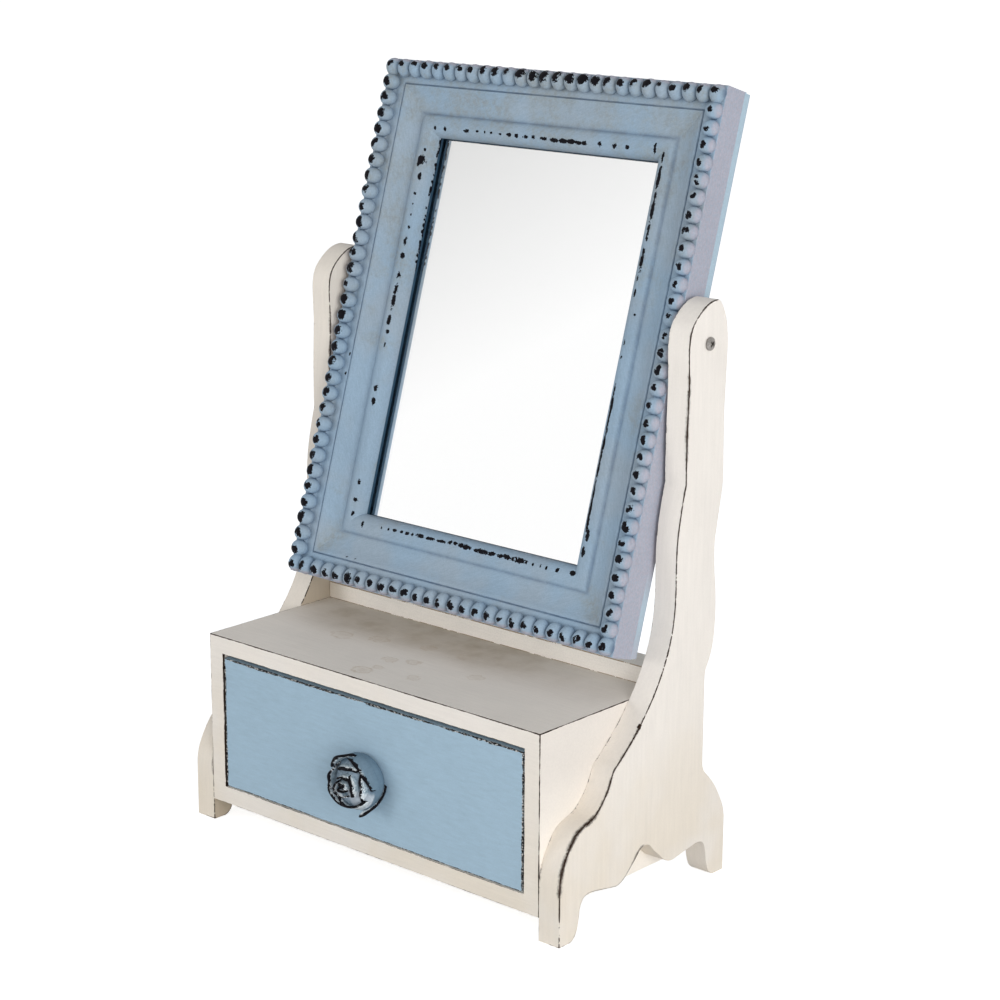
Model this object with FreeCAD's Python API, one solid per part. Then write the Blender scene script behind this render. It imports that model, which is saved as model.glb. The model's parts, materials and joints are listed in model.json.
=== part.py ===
import FreeCAD, Part
import math
import os
from FreeCAD import Vector

# A dressing-table mirror that swings between two scrolled side panels, over a box with one drawer.
# Millimetres. X runs from left to right, Y from front to back, and Z up from the table.
# The model is made with Y = 0 at the front of the box, and moved at the end so that its origin lies
# under the middle of the whole object.

# ---- box between the side panels
box_width = 220.0
box_height = 88.9
box_depth = 100.8
box_lift = 11.5
board = 9.0
back_thickness = 3.0

# ---- side panels: outline in Y and Z
panel_thickness = 12.5
panel_depth = 124.0
toe_flat = 7.5
foot_side_height = 28.0
foot_arch_y = 22.6
foot_arch_height = 20.4
drop_height = 17.3
drop_from_middle = 21.5
middle_arch_height = 31.4
front_shoulder_y = 20.9
front_shoulder_z = 55.8
scroll_y = 37.6
scroll_z = 75.7
waist_front_y = 81.3
waist_rear_y = 110.5
waist_z = 166.0
step_z = 201.0
column_front_y = 87.2
column_rear_y = 115.8
hip_y = 112.6
hip_z = 135.0
back_edge_y = 105.4
back_edge_top = 104.0
back_edge_bottom = 61.0
head_front = 14.8
head_rear = 14.5
head_top = 19.8
head_top_lean = 5.6
head_shoulder_drop = 3.5

# ---- crossbar on the box
crossbar_depth = 16.1
crossbar_height = 8.8

# ---- swing of the mirror
pivot_y = 102.1
pivot_z = 265.5
mirror_tilt = 16.8
pivot_above_middle = 16.4
pivot_behind_face = 3.5

# ---- mirror frame: its moulding is sized from its outer side inwards and from its back forwards
frame_side_gap = 2.4
frame_height = 268.6
moulding_width = 37.0
moulding_depth = 13.6
bead_radius = 4.2
bead_pitch = 8.05
bead_rise = 1.9
bead_sides = 8
# rings of a bead's facets: height from its middle and radius, as shares of the bead's radius
bead_profile = [(-0.7, 0.96), (0, 0.96), (0.66, 0.78), (0.95, 0.33)]
bead_seat = 15.0
fillet_width = 7.5
groove_inset = 11.7
groove_width = 0.7
groove_depth = 0.7
bank_width = 1.6
cove_end_inset = 25.7
cove_floor = 10.3
crest_inset = 31.2
crest_height = 11.4
lip_height = 5.4
rebate_width = 4.0
rebate_depth = 3.8

# ---- mirror glass and its backing
glass_thickness = 2.0
glass_side_clearance = 0.4
back_board_thickness = 3.6
back_board_inset = 0.4

# ---- drawer
drawer_front_thickness = 9.0
drawer_front_recess = 0.3
drawer_side_gap = 1.0
drawer_top_gap = 2.1
drawer_bottom_gap = 0.7
drawer_running_gap = 0.3
drawer_rear_gap = 1.5
drawer_board = 6.0
drawer_side_inset = 0.5
drawer_side_height = 56.0
drawer_back_drop = 6.0
drawer_bottom_thickness = 3.0
drawer_bottom_lift = 4.0
drawer_groove_depth = 3.0
drawer_housing_depth = 3.0

# ---- rose knob
knob_radius = 14.5
knob_reach = 19.8
knob_drop = 5.3
knob_bore_depth = 9.5
knob_sides = 20
petal_thickness = 1.3
petal_steps = 6
# the heart that the petals grow from: radius and height, as shares of the knob's radius and reach
knob_heart = [(0.80, 0), (0.95, 0.16), (0.84, 0.40), (0.50, 0.60), (0.24, 0.74)]
# each petal: direction and half width in degrees, belly and rim radius as shares of the knob's radius,
# height of its rim as a share of the knob's reach, how far its rim droops at the sides, and how straight
# its rim is; first the outer whorl, last the bud
petal_forms = [
    (50, 46, 0.98, 0.92, 0.63, 0.12, 0.7),
    (122, 38, 0.92, 1.04, 0.62, 0.28, 0.2),
    (320, 52, 0.88, 1.03, 0.49, 0.36, 0),
    (208, 46, 0.96, 0.97, 0.66, 0.34, 0),
    (172, 38, 0.90, 0.84, 0.74, 0.26, 0),
    (272, 56, 0.85, 0.72, 0.71, 0.22, 0),
    (98, 44, 0.72, 0.66, 0.78, 0.22, 0.3),
    (3, 46, 0.76, 0.68, 0.70, 0.20, 0.5),
    (12, 60, 0.46, 0.41, 0.85, 0.16, 0.3),
    (98, 50, 0.42, 0.37, 0.92, 0.16, 0),
    (215, 68, 0.38, 0.32, 0.95, 0.16, 0),
    (60, 76, 0.22, 0.17, 0.98, 0.10, 0),
    (235, 60, 0.19, 0.14, 0.96, 0.10, 0),
]

# ---- fasteners
screw_radius = 1.75
screw_head_radius = 3.4
pivot_head_radius = 3.15
pivot_head_height = 1.6
pivot_depth_in_frame = 10.2
panel_bite = 8.5
panel_screw_front = 28.2
panel_screw_rear = 84.7
panel_screw_share = 0.3
crossbar_bite = 5.5
board_screw_bite = 7.0
board_screw_radius = 1.3
board_screw_head_radius = 2.6
dowel_radius = 2.5
dowel_length = 22.0
dowel_bite = 6.0
pin_radius = 0.8
pin_length = 16.0
knob_screw_radius = 2.0
knob_screw_head_radius = 4.0
knob_screw_head_height = 2.6
knob_screw_bite = 8.0
knob_washer_radius = 5.0
knob_washer_thickness = 0.8
pivot_washer_radius = 4.4

# ---- fineness
curve_fineness = 0.12
curve_fullness = 0.36

# ---- clearances
running_clearance = 0.08
moving_gap = 0.3
hole_clearance = 0.15

# ---- places that follow from the sizes
inner_x = box_width / 2
outer_x = inner_x + panel_thickness
box_bottom_top = box_lift + board
box_top_z = box_lift + box_height
box_top_under = box_top_z - board
opening_x = inner_x - board
crossbar_front = box_depth - crossbar_depth
frame_x = inner_x - frame_side_gap
bead_height = moulding_depth + bead_rise
moulding_back = moulding_depth - pivot_behind_face
drawer_front_back = drawer_front_recess + drawer_front_thickness
drawer_x = opening_x - drawer_side_gap
drawer_side_x = drawer_x - drawer_side_inset
drawer_low = box_bottom_top + drawer_running_gap
drawer_front_low = box_bottom_top + drawer_bottom_gap
drawer_front_high = box_top_under - drawer_top_gap
drawer_floor = drawer_low + drawer_bottom_lift + drawer_bottom_thickness
drawer_rear = box_depth - back_thickness - drawer_rear_gap
knob_z = (box_bottom_top + box_top_under) / 2 - knob_drop
tilt = math.radians(mirror_tilt)
back_board_top = frame_height / 2 - pivot_above_middle - back_board_inset
rear_reach = (
    pivot_y
    + back_board_top * math.sin(tilt)
    + (moulding_back + back_board_thickness) * math.cos(tilt)
)
front_reach = drawer_front_recess - knob_reach
origin_y = (front_reach + rear_reach) / 2


# ---- shapes that several pieces use
def block(low, high):
    return Part.makeBox(high[0] - low[0], high[1] - low[1], high[2] - low[2], Vector(*low))


def both_sides(x):
    return [-x, x]


def turned(profile, place, direction):
    """A solid of revolution: the profile gives distances along the axis and from it."""
    points = [Vector(radius, 0, along) for along, radius in profile]
    face = Part.Face(Part.makePolygon(points + [points[0]]))
    solid = face.revolve(Vector(0, 0, 0), Vector(0, 0, 1), 360)
    solid.Placement = FreeCAD.Placement(place, FreeCAD.Rotation(Vector(0, 0, 1), direction))
    return solid


def faceted(sections):
    """A solid of flat facets through closed sections that have as many corners each."""
    ends = (sections[0], sections[-1])
    faces = [Part.Face(Part.makePolygon(section + section[:1])) for section in ends]
    for low, high in zip(sections, sections[1:]):
        for k in range(len(low)):
            j = (k + 1) % len(low)
            for corners in ([low[k], low[j], high[j]], [low[k], high[j], high[k]]):
                faces.append(Part.Face(Part.makePolygon(corners + corners[:1])))
    shell = Part.Shell(faces)
    shell.sewShape()
    solid = Part.Solid(shell)
    return solid if solid.Volume > 0 else solid.reversed()


def rod(radius, length, place, direction):
    return Part.makeCylinder(radius, length, place, direction)


def ring(outer, inner, thickness, place, direction):
    return rod(outer, thickness, place, direction).cut(rod(inner, thickness, place, direction))


def wood_screw(place, direction, length, radius, head_radius):
    """A countersunk screw whose head is flush at place, pointing in direction."""
    profile = [(0, 0), (0, head_radius), (head_radius - radius, radius), (length, radius), (length, 0)]
    return turned(profile, place, direction)


def way(a, b, across, up):
    """The point that lies at the given shares of the way from a to b."""
    return (a[0] + (b[0] - a[0]) * across, a[1] + (b[1] - a[1]) * up)


def heading(degrees):
    return Vector(0, math.cos(math.radians(degrees)), math.sin(math.radians(degrees)))


def smooth(*knots):
    """Tangent arcs through knots: each a point (y, z) and the edge's direction there, in degrees up from level."""
    edges = []
    for (a, leaving), (b, arriving) in zip(knots, knots[1:]):
        start = Vector(0, *a)
        end = Vector(0, *b)
        reach = (end - start).Length * curve_fullness
        ahead = heading(leaving) * reach
        behind = heading(arriving) * reach
        curve = Part.BezierCurve()
        curve.setPoles([start, start + ahead, end - behind, end])
        edges += [arc.toShape() for arc in curve.toBSpline().toBiArcs(curve_fineness)]
    return edges


def straight(a, b):
    return [Part.makeLine(Vector(0, *a), Vector(0, *b))]


# ---- side panels
def foot_edge():
    """Half the scalloped lower edge, from the front foot's toe to the middle, and its mirror image."""
    toe = (toe_flat, 0)
    arch = (foot_arch_y, foot_arch_height)
    drop = (panel_depth / 2 - drop_from_middle, drop_height)
    middle = (panel_depth / 2, middle_arch_height)
    ankle = way(toe, arch, 0.41, 0.42)
    knuckle = way(toe, arch, 0.59, 0.90)
    half = smooth((toe, 10), (ankle, 80), (knuckle, 52), (arch, 0), (drop, 0))
    half += smooth((drop, 0), (way(drop, middle, 0.60, 0.56), 42), (middle, 0))
    centre = Vector(0, panel_depth / 2, 0)
    return half + [edge.mirror(centre, Vector(0, 1, 0)) for edge in half]


def front_edge():
    """The scrolled front edge, upwards from the front foot to the head."""
    foot = (0, foot_side_height)
    shoulder = (front_shoulder_y, front_shoulder_z)
    scroll = (scroll_y, scroll_z)
    waist = (waist_front_y, waist_z)
    step = (column_front_y, step_z)
    head = (pivot_y - head_front, pivot_z - head_shoulder_drop)
    edges = straight((0, 0), foot)
    edges += smooth((foot, 90), (way(foot, shoulder, 0.43, 0.78), 52), (shoulder, 14))
    edges += smooth((shoulder, 14), (way(shoulder, scroll, 0.58, 0.36), 50), (scroll, 66))
    sweep_low = (way(scroll, waist, 0.288, 0.114), 42)
    sweep_middle = (way(scroll, waist, 0.616, 0.291), 52)
    sweep_high = (way(scroll, waist, 0.879, 0.513), 67)
    edges += smooth((scroll, 34), sweep_low, sweep_middle, sweep_high, (waist, 90))
    edges += smooth((waist, 90), (way(waist, step, 0.37, 0.57), 78), (step, 72))
    swell = way(step, head, 6.5, 0.75)
    edges += smooth((step, 92), (way(step, head, -1, 0.40), 90), (swell, 90), (head, 92))
    return edges


def head_edge():
    """The rounded head, over the pivot, from its front to its rear."""
    front = (pivot_y - head_front, pivot_z - head_shoulder_drop)
    crown = (pivot_y + head_top_lean, pivot_z + head_top)
    rear = (pivot_y + head_rear, pivot_z - head_shoulder_drop)
    edges = smooth((front, 92), (way(front, crown, 0.19, 0.63), 48), (crown, 0))
    return edges + smooth((crown, 0), (way(crown, rear, 0.60, 0.21), -62), (rear, -90))


def rear_edge():
    """The rear edge, downwards from the head to the rear foot."""
    head = (pivot_y + head_rear, pivot_z - head_shoulder_drop)
    column = (column_rear_y, step_z)
    waist = (waist_rear_y, waist_z)
    hip = (hip_y, hip_z)
    top = (back_edge_y, back_edge_top)
    low = (back_edge_y, back_edge_bottom)
    foot = (panel_depth, foot_side_height)
    hollow = ((head[0] + column[0]) / 2 - 1, (head[1] + step_z) / 2)
    edges = smooth((head, -90), (hollow, -90), (column, -90))
    edges += smooth((column, -90), (way(column, waist, 0.55, 0.54), -101), (waist, -90))
    edges += smooth((waist, -90), (hip, -91), (way(hip, top, 0.40, 0.66), -110), (top, -92))
    edges += straight(top, low)
    heel = way(low, foot, 0.16, 0.20)
    edges += smooth((low, -90), (heel, -42), (way(low, foot, 0.68, 0.55), -59), (foot, -86))
    return edges + straight(foot, (panel_depth, 0))


def side_panel(side):
    soles = straight((0, 0), (toe_flat, 0)) + straight((panel_depth - toe_flat, 0), (panel_depth, 0))
    edges = front_edge() + head_edge() + rear_edge() + soles + foot_edge()
    face = Part.Face(Part.Wire(Part.__sortEdges__(edges)))
    panel = face.extrude(Vector(panel_thickness, 0, 0))
    panel.translate(Vector(inner_x, 0, 0))
    along = Vector(1, 0, 0)
    pivot = Vector(inner_x, pivot_y, pivot_z)
    bore = rod(screw_radius + running_clearance, panel_thickness, pivot, along)
    pilots = []
    for y, z in panel_screw_places():
        pilots.append(rod(screw_radius, panel_bite, Vector(inner_x, y, z), along))
    panel = drilled(panel, pilots + [bore])
    return panel if side > 0 else panel.mirror(Vector(0, 0, 0), Vector(1, 0, 0))


# ---- box and crossbar
def panel_screw_places():
    """One screw near each panel's front and one near its rear, in the height that the dowels leave free."""
    low = box_bottom_top - dowel_bite + dowel_length
    free = box_top_under + dowel_bite - dowel_length - low
    return [
        (panel_screw_front, low + free * panel_screw_share),
        (panel_screw_rear, low + free * (1 - panel_screw_share)),
    ]


def panel_fixing_screws():
    screws = []
    for side in (-1, 1):
        for y, z in panel_screw_places():
            length = board + panel_bite
            place = Vector(side * opening_x, y, z)
            screws.append(wood_screw(place, Vector(side, 0, 0), length, screw_radius, screw_head_radius))
    return screws


def crossbar_screws():
    screws = []
    for x in both_sides(box_width * 0.3):
        place = Vector(x, box_depth - crossbar_depth / 2, box_top_under)
        length = board + crossbar_bite
        screws.append(wood_screw(place, Vector(0, 0, 1), length, screw_radius, screw_head_radius))
    return screws


def box_corner_dowels():
    """Two dowels in each of the box's four corners, blind in the top and bottom boards."""
    dowels = []
    for x in both_sides(inner_x - board / 2):
        for y in (box_depth * 0.25, box_depth * 0.75):
            for z in (box_bottom_top - dowel_bite, box_top_under + dowel_bite - dowel_length):
                dowels.append(rod(dowel_radius, dowel_length, Vector(x, y, z), Vector(0, 0, 1)))
    return dowels


def drilled(body, fasteners):
    """body with the holes that the fasteners fill."""
    for fastener in fasteners:
        body = body.cut(fastener)
    return body


def box_bottom():
    body = block((-inner_x, 0, box_lift), (inner_x, box_depth, box_bottom_top))
    return drilled(body, box_corner_dowels())


def box_top():
    body = block((-inner_x, 0, box_top_under), (inner_x, box_depth, box_top_z))
    return drilled(body, box_corner_dowels() + crossbar_screws())


def box_side(side):
    body = block((opening_x, 0, box_bottom_top), (inner_x, box_depth, box_top_under))
    body = body if side > 0 else body.mirror(Vector(0, 0, 0), Vector(1, 0, 0))
    return drilled(body, box_corner_dowels() + panel_fixing_screws())


def box_back():
    return block(
        (-opening_x, box_depth - back_thickness, box_bottom_top), (opening_x, box_depth, box_top_under)
    )


def rear_crossbar():
    body = block(
        (-inner_x, crossbar_front, box_top_z), (inner_x, box_depth, box_top_z + crossbar_height)
    )
    return drilled(body, crossbar_screws())


# ---- mirror frame, made upright about its pivot and tilted at the end
def tilted(shape):
    shape = shape.copy()
    shape.translate(Vector(0, pivot_y, pivot_z))
    shape.rotate(Vector(0, pivot_y, pivot_z), Vector(1, 0, 0), -mirror_tilt)
    return shape


def moulding_section():
    """The moulding's section, with Y inwards from the frame's outer side and Z forwards from its back."""

    def at(inset, height):
        return Vector(0, inset, height)

    groove_end = groove_inset + groove_width
    bank_end = groove_end + bank_width
    torus_foot = at(cove_end_inset + 0.3, cove_floor + 0.1)
    lip = at(moulding_width, lip_height)
    rebate = moulding_width - rebate_width
    outline = [
        at(0, 0),
        at(0, bead_seat),
        at(bead_radius, bead_seat),
        at(fillet_width, moulding_depth),
        at(groove_inset, moulding_depth),
        at(groove_inset + groove_width / 2, moulding_depth - groove_depth),
        at(groove_end, moulding_depth - 0.1),
        at(bank_end, moulding_depth - 0.2),
    ]
    cove_end = at(cove_end_inset, cove_floor)
    crest = at(crest_inset, crest_height)
    cove_middle = at(*way((bank_end, cove_floor), (cove_end_inset, moulding_depth), 0.33, 0.26))
    shoulder = at(*way((cove_end_inset, cove_floor), (crest_inset, crest_height), 0.36, 0.74))
    roll = at(*way((crest_inset, lip_height), (moulding_width, crest_height), 0.72, 0.69))
    edges = [Part.makeLine(a, b) for a, b in zip(outline, outline[1:])]
    edges.append(Part.Arc(outline[-1], cove_middle, cove_end).toShape())
    edges.append(Part.makeLine(cove_end, torus_foot))
    edges.append(Part.Arc(torus_foot, shoulder, crest).toShape())
    edges.append(Part.Arc(crest, roll, lip).toShape())
    back = [lip, at(moulding_width, rebate_depth), at(rebate, rebate_depth), at(rebate, 0), at(0, 0)]
    edges += [Part.makeLine(a, b) for a, b in zip(back, back[1:])]
    return Part.Face(Part.Wire(edges))


def bead(along):
    """One bead of the row, as a dome of flat facets rooted in the moulding."""
    rings = []
    for height, share in bead_profile:
        corners = []
        for k in range(bead_sides):
            turn = 2 * math.pi * (k + 0.5) / bead_sides
            x = along + bead_radius * share * math.cos(turn)
            inwards = bead_radius * (1 + share * math.sin(turn))
            corners.append(Vector(x, inwards, bead_height + bead_radius * height))
        rings.append(corners)
    return faceted(rings)


def rail(length, half_height, turn):
    """A mitred, beaded rail, made along X with its outer side at the bottom and turned into its place."""
    row = length - 2 * bead_radius
    count = round(row / bead_pitch)
    body = moulding_section().extrude(Vector(length, 0, 0))
    body.translate(Vector(-length / 2, 0, 0))
    beads = [bead(-row / 2 + row * k / count) for k in range(count + 1)]
    body = body.multiFuse(beads)
    mitre = [
        Vector(-length / 2, 0, 0),
        Vector(length / 2, 0, 0),
        Vector(length / 2 - moulding_width, moulding_width, 0),
        Vector(-length / 2 + moulding_width, moulding_width, 0),
        Vector(-length / 2, 0, 0),
    ]
    wedge = Part.Face(Part.makePolygon(mitre)).extrude(Vector(0, 0, bead_height + 2 * bead_radius))
    body = body.common(wedge)
    body.rotate(Vector(0, 0, 0), Vector(1, 0, 0), 90)
    body.translate(Vector(0, moulding_back, -half_height))
    body.rotate(Vector(0, 0, 0), Vector(0, 1, 0), turn)
    body.translate(Vector(0, 0, -pivot_above_middle))
    return body


def frame_stile(side):
    body = rail(frame_height, frame_x, -90 * side)
    hole = rod(screw_radius, pivot_depth_in_frame, Vector(side * frame_x, 0, 0), Vector(-side, 0, 0))
    return tilted(drilled(body.cut(hole), back_board_screws_upright()))


def frame_rail(top):
    body = rail(2 * frame_x, frame_height / 2, 180 if top else 0)
    return tilted(drilled(body, back_board_screws_upright()))


def inside_rebate(front, back, clearance):
    """A sheet that lies in the frame's rebate, between two depths behind the pivot."""
    x = frame_x - moulding_width + rebate_width - clearance
    z = frame_height / 2 - moulding_width + rebate_width - clearance
    return block((-x, front, -z - pivot_above_middle), (x, back, z - pivot_above_middle))


def mirror_glass():
    front = moulding_back - rebate_depth
    return tilted(inside_rebate(front, front + glass_thickness, glass_side_clearance))


def packing_card():
    front = moulding_back - rebate_depth + glass_thickness
    return tilted(inside_rebate(front, moulding_back, 2 * glass_side_clearance))


def back_board():
    x = frame_x - back_board_inset
    z = frame_height / 2 - back_board_inset
    low = (-x, moulding_back, -z - pivot_above_middle)
    high = (x, moulding_back + back_board_thickness, z - pivot_above_middle)
    return tilted(drilled(block(low, high), back_board_screws_upright()))


def back_board_screws_upright():
    """Six screws through the back board: two near the ends and one in the middle of each side."""
    x = frame_x - (moulding_width - rebate_width) / 2
    reach = frame_height / 2 - (moulding_width - rebate_width) / 2
    screws = []
    for side_x in both_sides(x):
        for z in (-reach, 0, reach):
            place = Vector(side_x, moulding_back + back_board_thickness, z - pivot_above_middle)
            length = back_board_thickness + board_screw_bite
            screws.append(
                wood_screw(place, Vector(0, -1, 0), length, board_screw_radius, board_screw_head_radius)
            )
    return screws


def pivot_screw(side):
    """A pan-head screw that passes freely through the panel and bites in the frame's stile."""
    head = outer_x + moving_gap
    length = head - frame_x + pivot_depth_in_frame
    profile = [
        (-pivot_head_height, 0),
        (-pivot_head_height, pivot_head_radius * 0.62),
        (-pivot_head_height * 0.45, pivot_head_radius),
        (0, pivot_head_radius),
        (0, screw_radius),
        (length, screw_radius),
        (length, 0),
    ]
    return tilted(turned(profile, Vector(side * head, 0, 0), Vector(-side, 0, 0)))


def pivot_washer(side):
    thickness = frame_side_gap - moving_gap
    place = Vector(side * frame_x, 0, 0)
    hole = screw_radius + hole_clearance
    return tilted(ring(pivot_washer_radius, hole, thickness, place, Vector(side, 0, 0)))


# ---- drawer
def drawer_bottom():
    x = drawer_side_x - drawer_board + drawer_groove_depth
    low = (-x, drawer_front_back - drawer_groove_depth, drawer_low + drawer_bottom_lift)
    return block(low, (x, drawer_rear, drawer_floor))


def drawer_side(side):
    low = (drawer_side_x - drawer_board, drawer_front_back - drawer_housing_depth, drawer_low)
    body = block(low, (drawer_side_x, drawer_rear, drawer_low + drawer_side_height))
    body = body if side > 0 else body.mirror(Vector(0, 0, 0), Vector(1, 0, 0))
    return drilled(body.cut(drawer_bottom()), drawer_back_pins())


def drawer_back():
    x = drawer_side_x - drawer_board
    high = drawer_low + drawer_side_height - drawer_back_drop
    body = block((-x, drawer_rear - drawer_board, drawer_floor), (x, drawer_rear, high))
    return drilled(body, drawer_back_pins())


def drawer_back_pins():
    """Two pins through each drawer side into the end of the drawer's back."""
    pins = []
    for side in (-1, 1):
        for share in (0.25, 0.75):
            z = drawer_floor + (drawer_low + drawer_side_height - drawer_back_drop - drawer_floor) * share
            place = Vector(side * drawer_side_x, drawer_rear - drawer_board / 2, z)
            pins.append(rod(pin_radius, pin_length, place, Vector(-side, 0, 0)))
    return pins


def drawer_front():
    low = (-drawer_x, drawer_front_recess, drawer_front_low)
    body = block(low, (drawer_x, drawer_front_back, drawer_front_high))
    body = body.cut(drawer_bottom()).cut(drawer_side(1)).cut(drawer_side(-1))
    place = Vector(0, drawer_front_recess, knob_z)
    hole = rod(knob_screw_radius + hole_clearance, drawer_front_thickness, place, Vector(0, 1, 0))
    return body.cut(hole)


# ---- rose knob, made with its axis up and laid on the drawer front at the end
def petal(turn, spread, belly, rim, height, droop, straight):
    """A cupped petal of flat facets, thin at its rim and thick at its root. The rim droops at its sides."""
    sections = []
    thin = petal_thickness
    for k in range(petal_steps + 1):
        side = 2 * k / petal_steps - 1
        angle = math.radians(turn + spread * side)
        top = height * (1 - droop * side * side)
        chord = math.cos(math.radians(spread)) / math.cos(math.radians(spread * side))
        lip = rim * (1 + straight * (chord - 1))
        neck = (belly + lip) / 2
        outer = [(0.72 * belly, 0.04 * height), (belly, 0.46 * top), (neck, 0.84 * top), (lip, top)]
        inner = [(lip - thin, top), (neck - 1.5 * thin, 0.80 * top), (0.5 * belly - thin, 0.40 * top)]
        sections.append([Vector(r * math.cos(angle), r * math.sin(angle), z) for r, z in outer + inner])
    return faceted(sections)


def rose_knob():
    """Petals in three whorls round a bud, on a faceted base with a blind bore for the screw."""
    r = knob_radius
    h = knob_reach
    turns = [2 * math.pi * k / knob_sides for k in range(knob_sides)]
    rings = []
    for radius, z in knob_heart:
        rings.append([Vector(radius * r * math.cos(a), radius * r * math.sin(a), z * h) for a in turns])
    petals = []
    for turn, spread, belly, rim, height, droop, straight in petal_forms:
        petals.append(petal(turn, spread, belly * r, rim * r, height * h, droop, straight))
    body = faceted(rings).multiFuse(petals)
    body = body.cut(rod(knob_screw_radius, knob_bore_depth, Vector(0, 0, 0), Vector(0, 0, 1)))
    body.rotate(Vector(0, 0, 0), Vector(1, 0, 0), 90)
    body.translate(Vector(0, drawer_front_recess, knob_z))
    return body


def knob_screw():
    """A pan-head machine screw, from inside the drawer into the knob."""
    seat = drawer_front_back + knob_washer_thickness
    length = knob_washer_thickness + drawer_front_thickness + knob_screw_bite
    profile = [
        (-knob_screw_head_height, 0),
        (-knob_screw_head_height, knob_screw_head_radius * 0.7),
        (-knob_screw_head_height * 0.5, knob_screw_head_radius),
        (0, knob_screw_head_radius),
        (0, knob_screw_radius),
        (length, knob_screw_radius),
        (length, 0),
    ]
    return turned(profile, Vector(0, seat, knob_z), Vector(0, -1, 0))


def knob_washer():
    place = Vector(0, drawer_front_back, knob_z)
    hole = knob_screw_radius + hole_clearance
    return ring(knob_washer_radius, hole, knob_washer_thickness, place, Vector(0, 1, 0))


def save(name, shape):
    """Writes one piece, or a group of like pieces, in its place about the object's own origin."""
    body = Part.makeCompound(shape) if isinstance(shape, list) else shape.copy()
    body.translate(Vector(0, -origin_y, 0))
    body.exportStep("parts/" + name + ".step")


os.makedirs("parts", exist_ok=True)
save("left_side_panel", side_panel(-1))
save("right_side_panel", side_panel(1))
save("box_top", box_top())
save("box_bottom", box_bottom())
save("box_left_side", box_side(-1))
save("box_right_side", box_side(1))
save("box_back", box_back())
save("rear_crossbar", rear_crossbar())
save("crossbar_screws", crossbar_screws())
save("panel_fixing_screws", panel_fixing_screws())
save("box_corner_dowels", box_corner_dowels())
save("frame_top_rail", frame_rail(True))
save("frame_bottom_rail", frame_rail(False))
save("frame_left_stile", frame_stile(-1))
save("frame_right_stile", frame_stile(1))
save("mirror_glass", mirror_glass())
save("packing_card", packing_card())
save("back_board", back_board())
save("back_board_screws", [tilted(screw) for screw in back_board_screws_upright()])
save("left_pivot_screw", pivot_screw(-1))
save("right_pivot_screw", pivot_screw(1))
save("left_pivot_washer", pivot_washer(-1))
save("right_pivot_washer", pivot_washer(1))
save("drawer_front", drawer_front())
save("drawer_left_side", drawer_side(-1))
save("drawer_right_side", drawer_side(1))
save("drawer_back", drawer_back())
save("drawer_bottom", drawer_bottom())
save("drawer_back_pins", drawer_back_pins())
save("rose_knob", rose_knob())
save("knob_screw", knob_screw())
save("knob_washer", knob_washer())
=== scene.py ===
import json
import math
import random
from functools import partialmethod

import bmesh
import bpy
import numpy as np
from mathutils import Matrix, Vector


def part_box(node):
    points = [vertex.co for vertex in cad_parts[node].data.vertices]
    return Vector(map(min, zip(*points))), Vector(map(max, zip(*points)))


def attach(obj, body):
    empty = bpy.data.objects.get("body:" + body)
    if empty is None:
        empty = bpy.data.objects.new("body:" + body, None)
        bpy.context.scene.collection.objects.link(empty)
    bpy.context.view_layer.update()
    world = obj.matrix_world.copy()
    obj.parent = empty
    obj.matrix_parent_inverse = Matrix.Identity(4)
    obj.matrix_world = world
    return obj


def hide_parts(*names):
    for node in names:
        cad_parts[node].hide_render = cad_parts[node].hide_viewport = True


# The finish of a dressing-table mirror: cream and blue paint worn through to a dark undercoat, a beaded
# moulding round silvered glass, and a cast rose knob. Metres; sizes in millimetres are multiplied by mm.
mm = 0.001

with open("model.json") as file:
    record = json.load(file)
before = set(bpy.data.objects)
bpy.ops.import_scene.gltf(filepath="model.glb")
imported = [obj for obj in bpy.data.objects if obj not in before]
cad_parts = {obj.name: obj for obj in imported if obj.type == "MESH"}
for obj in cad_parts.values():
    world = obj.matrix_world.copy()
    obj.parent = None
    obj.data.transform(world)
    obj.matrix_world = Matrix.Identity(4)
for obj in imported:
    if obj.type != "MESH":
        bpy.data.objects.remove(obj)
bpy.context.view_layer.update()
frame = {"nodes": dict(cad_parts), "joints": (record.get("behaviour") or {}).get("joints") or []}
nodes = frame["nodes"]

# ---- mirror frame
mirror_lean = math.radians(16.8)
pivot_above_middle = 16.4
frame_width = 215.2
frame_height = 268.6
moulding_width = 37.0
moulding_back = 10.1
rebate_width = 4.0
board_face = 13.7
groove_inset = 12.05
bead_foot_inset = 7.8
roll_foot_inset = 25.9
rail_step = 0.6
mitre_shift = 1.1
mitre_reach = 4.5
silver_margin = 0.1
silver_depths = (0.08, 0.02)

# ---- beads
bead_radius = 4.2
bead_height = 15.5
beads_across = 27
beads_upright = 33
bead_rings = 22
bead_sides = 36
bead_stretch_forwards = 1.02
bead_stretch_outwards = 0.22
chips_per_bead = 4

# ---- rose knob
box_front = -64.838
knob_face = 0.3
knob_rise = 50.6
knob_centre = Vector((0, box_front + knob_face, knob_rise))
heart_sides = 56
petal_thickness = 1.2
petal_across = 26
petal_up = 18
petal_root = 0.70
petal_ripple = 0.25
rubbed_from = 0.76
rubbed_sides_from = 0.92

# ---- screw heads that show: radius and the recess's depth
pivot_head = (3.15, 1.1)
back_board_head = (2.6, 1.0)

# ---- cream paint, as it looks in plain light, and lighter and darker creams that are painted light and shade
cream = (0.86, 0.81, 0.752)
# painted light: a lighter cream for the foot of the box's sides, the box top and the crossbar
painted_light_cream = (0.96, 0.90, 0.82)
aged_cream = (0.75, 0.66, 0.53)
# painted shade: a darker cream for the upper part of the box's sides
box_side_shade_cream = (0.79, 0.735, 0.675)
# painted shade with grime, for the patch under the mirror and the left panel's inner face
shade_and_soil = (0.42, 0.345, 0.25)
drop_brown = (0.50, 0.38, 0.25)
yellowing = 0.65

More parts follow.
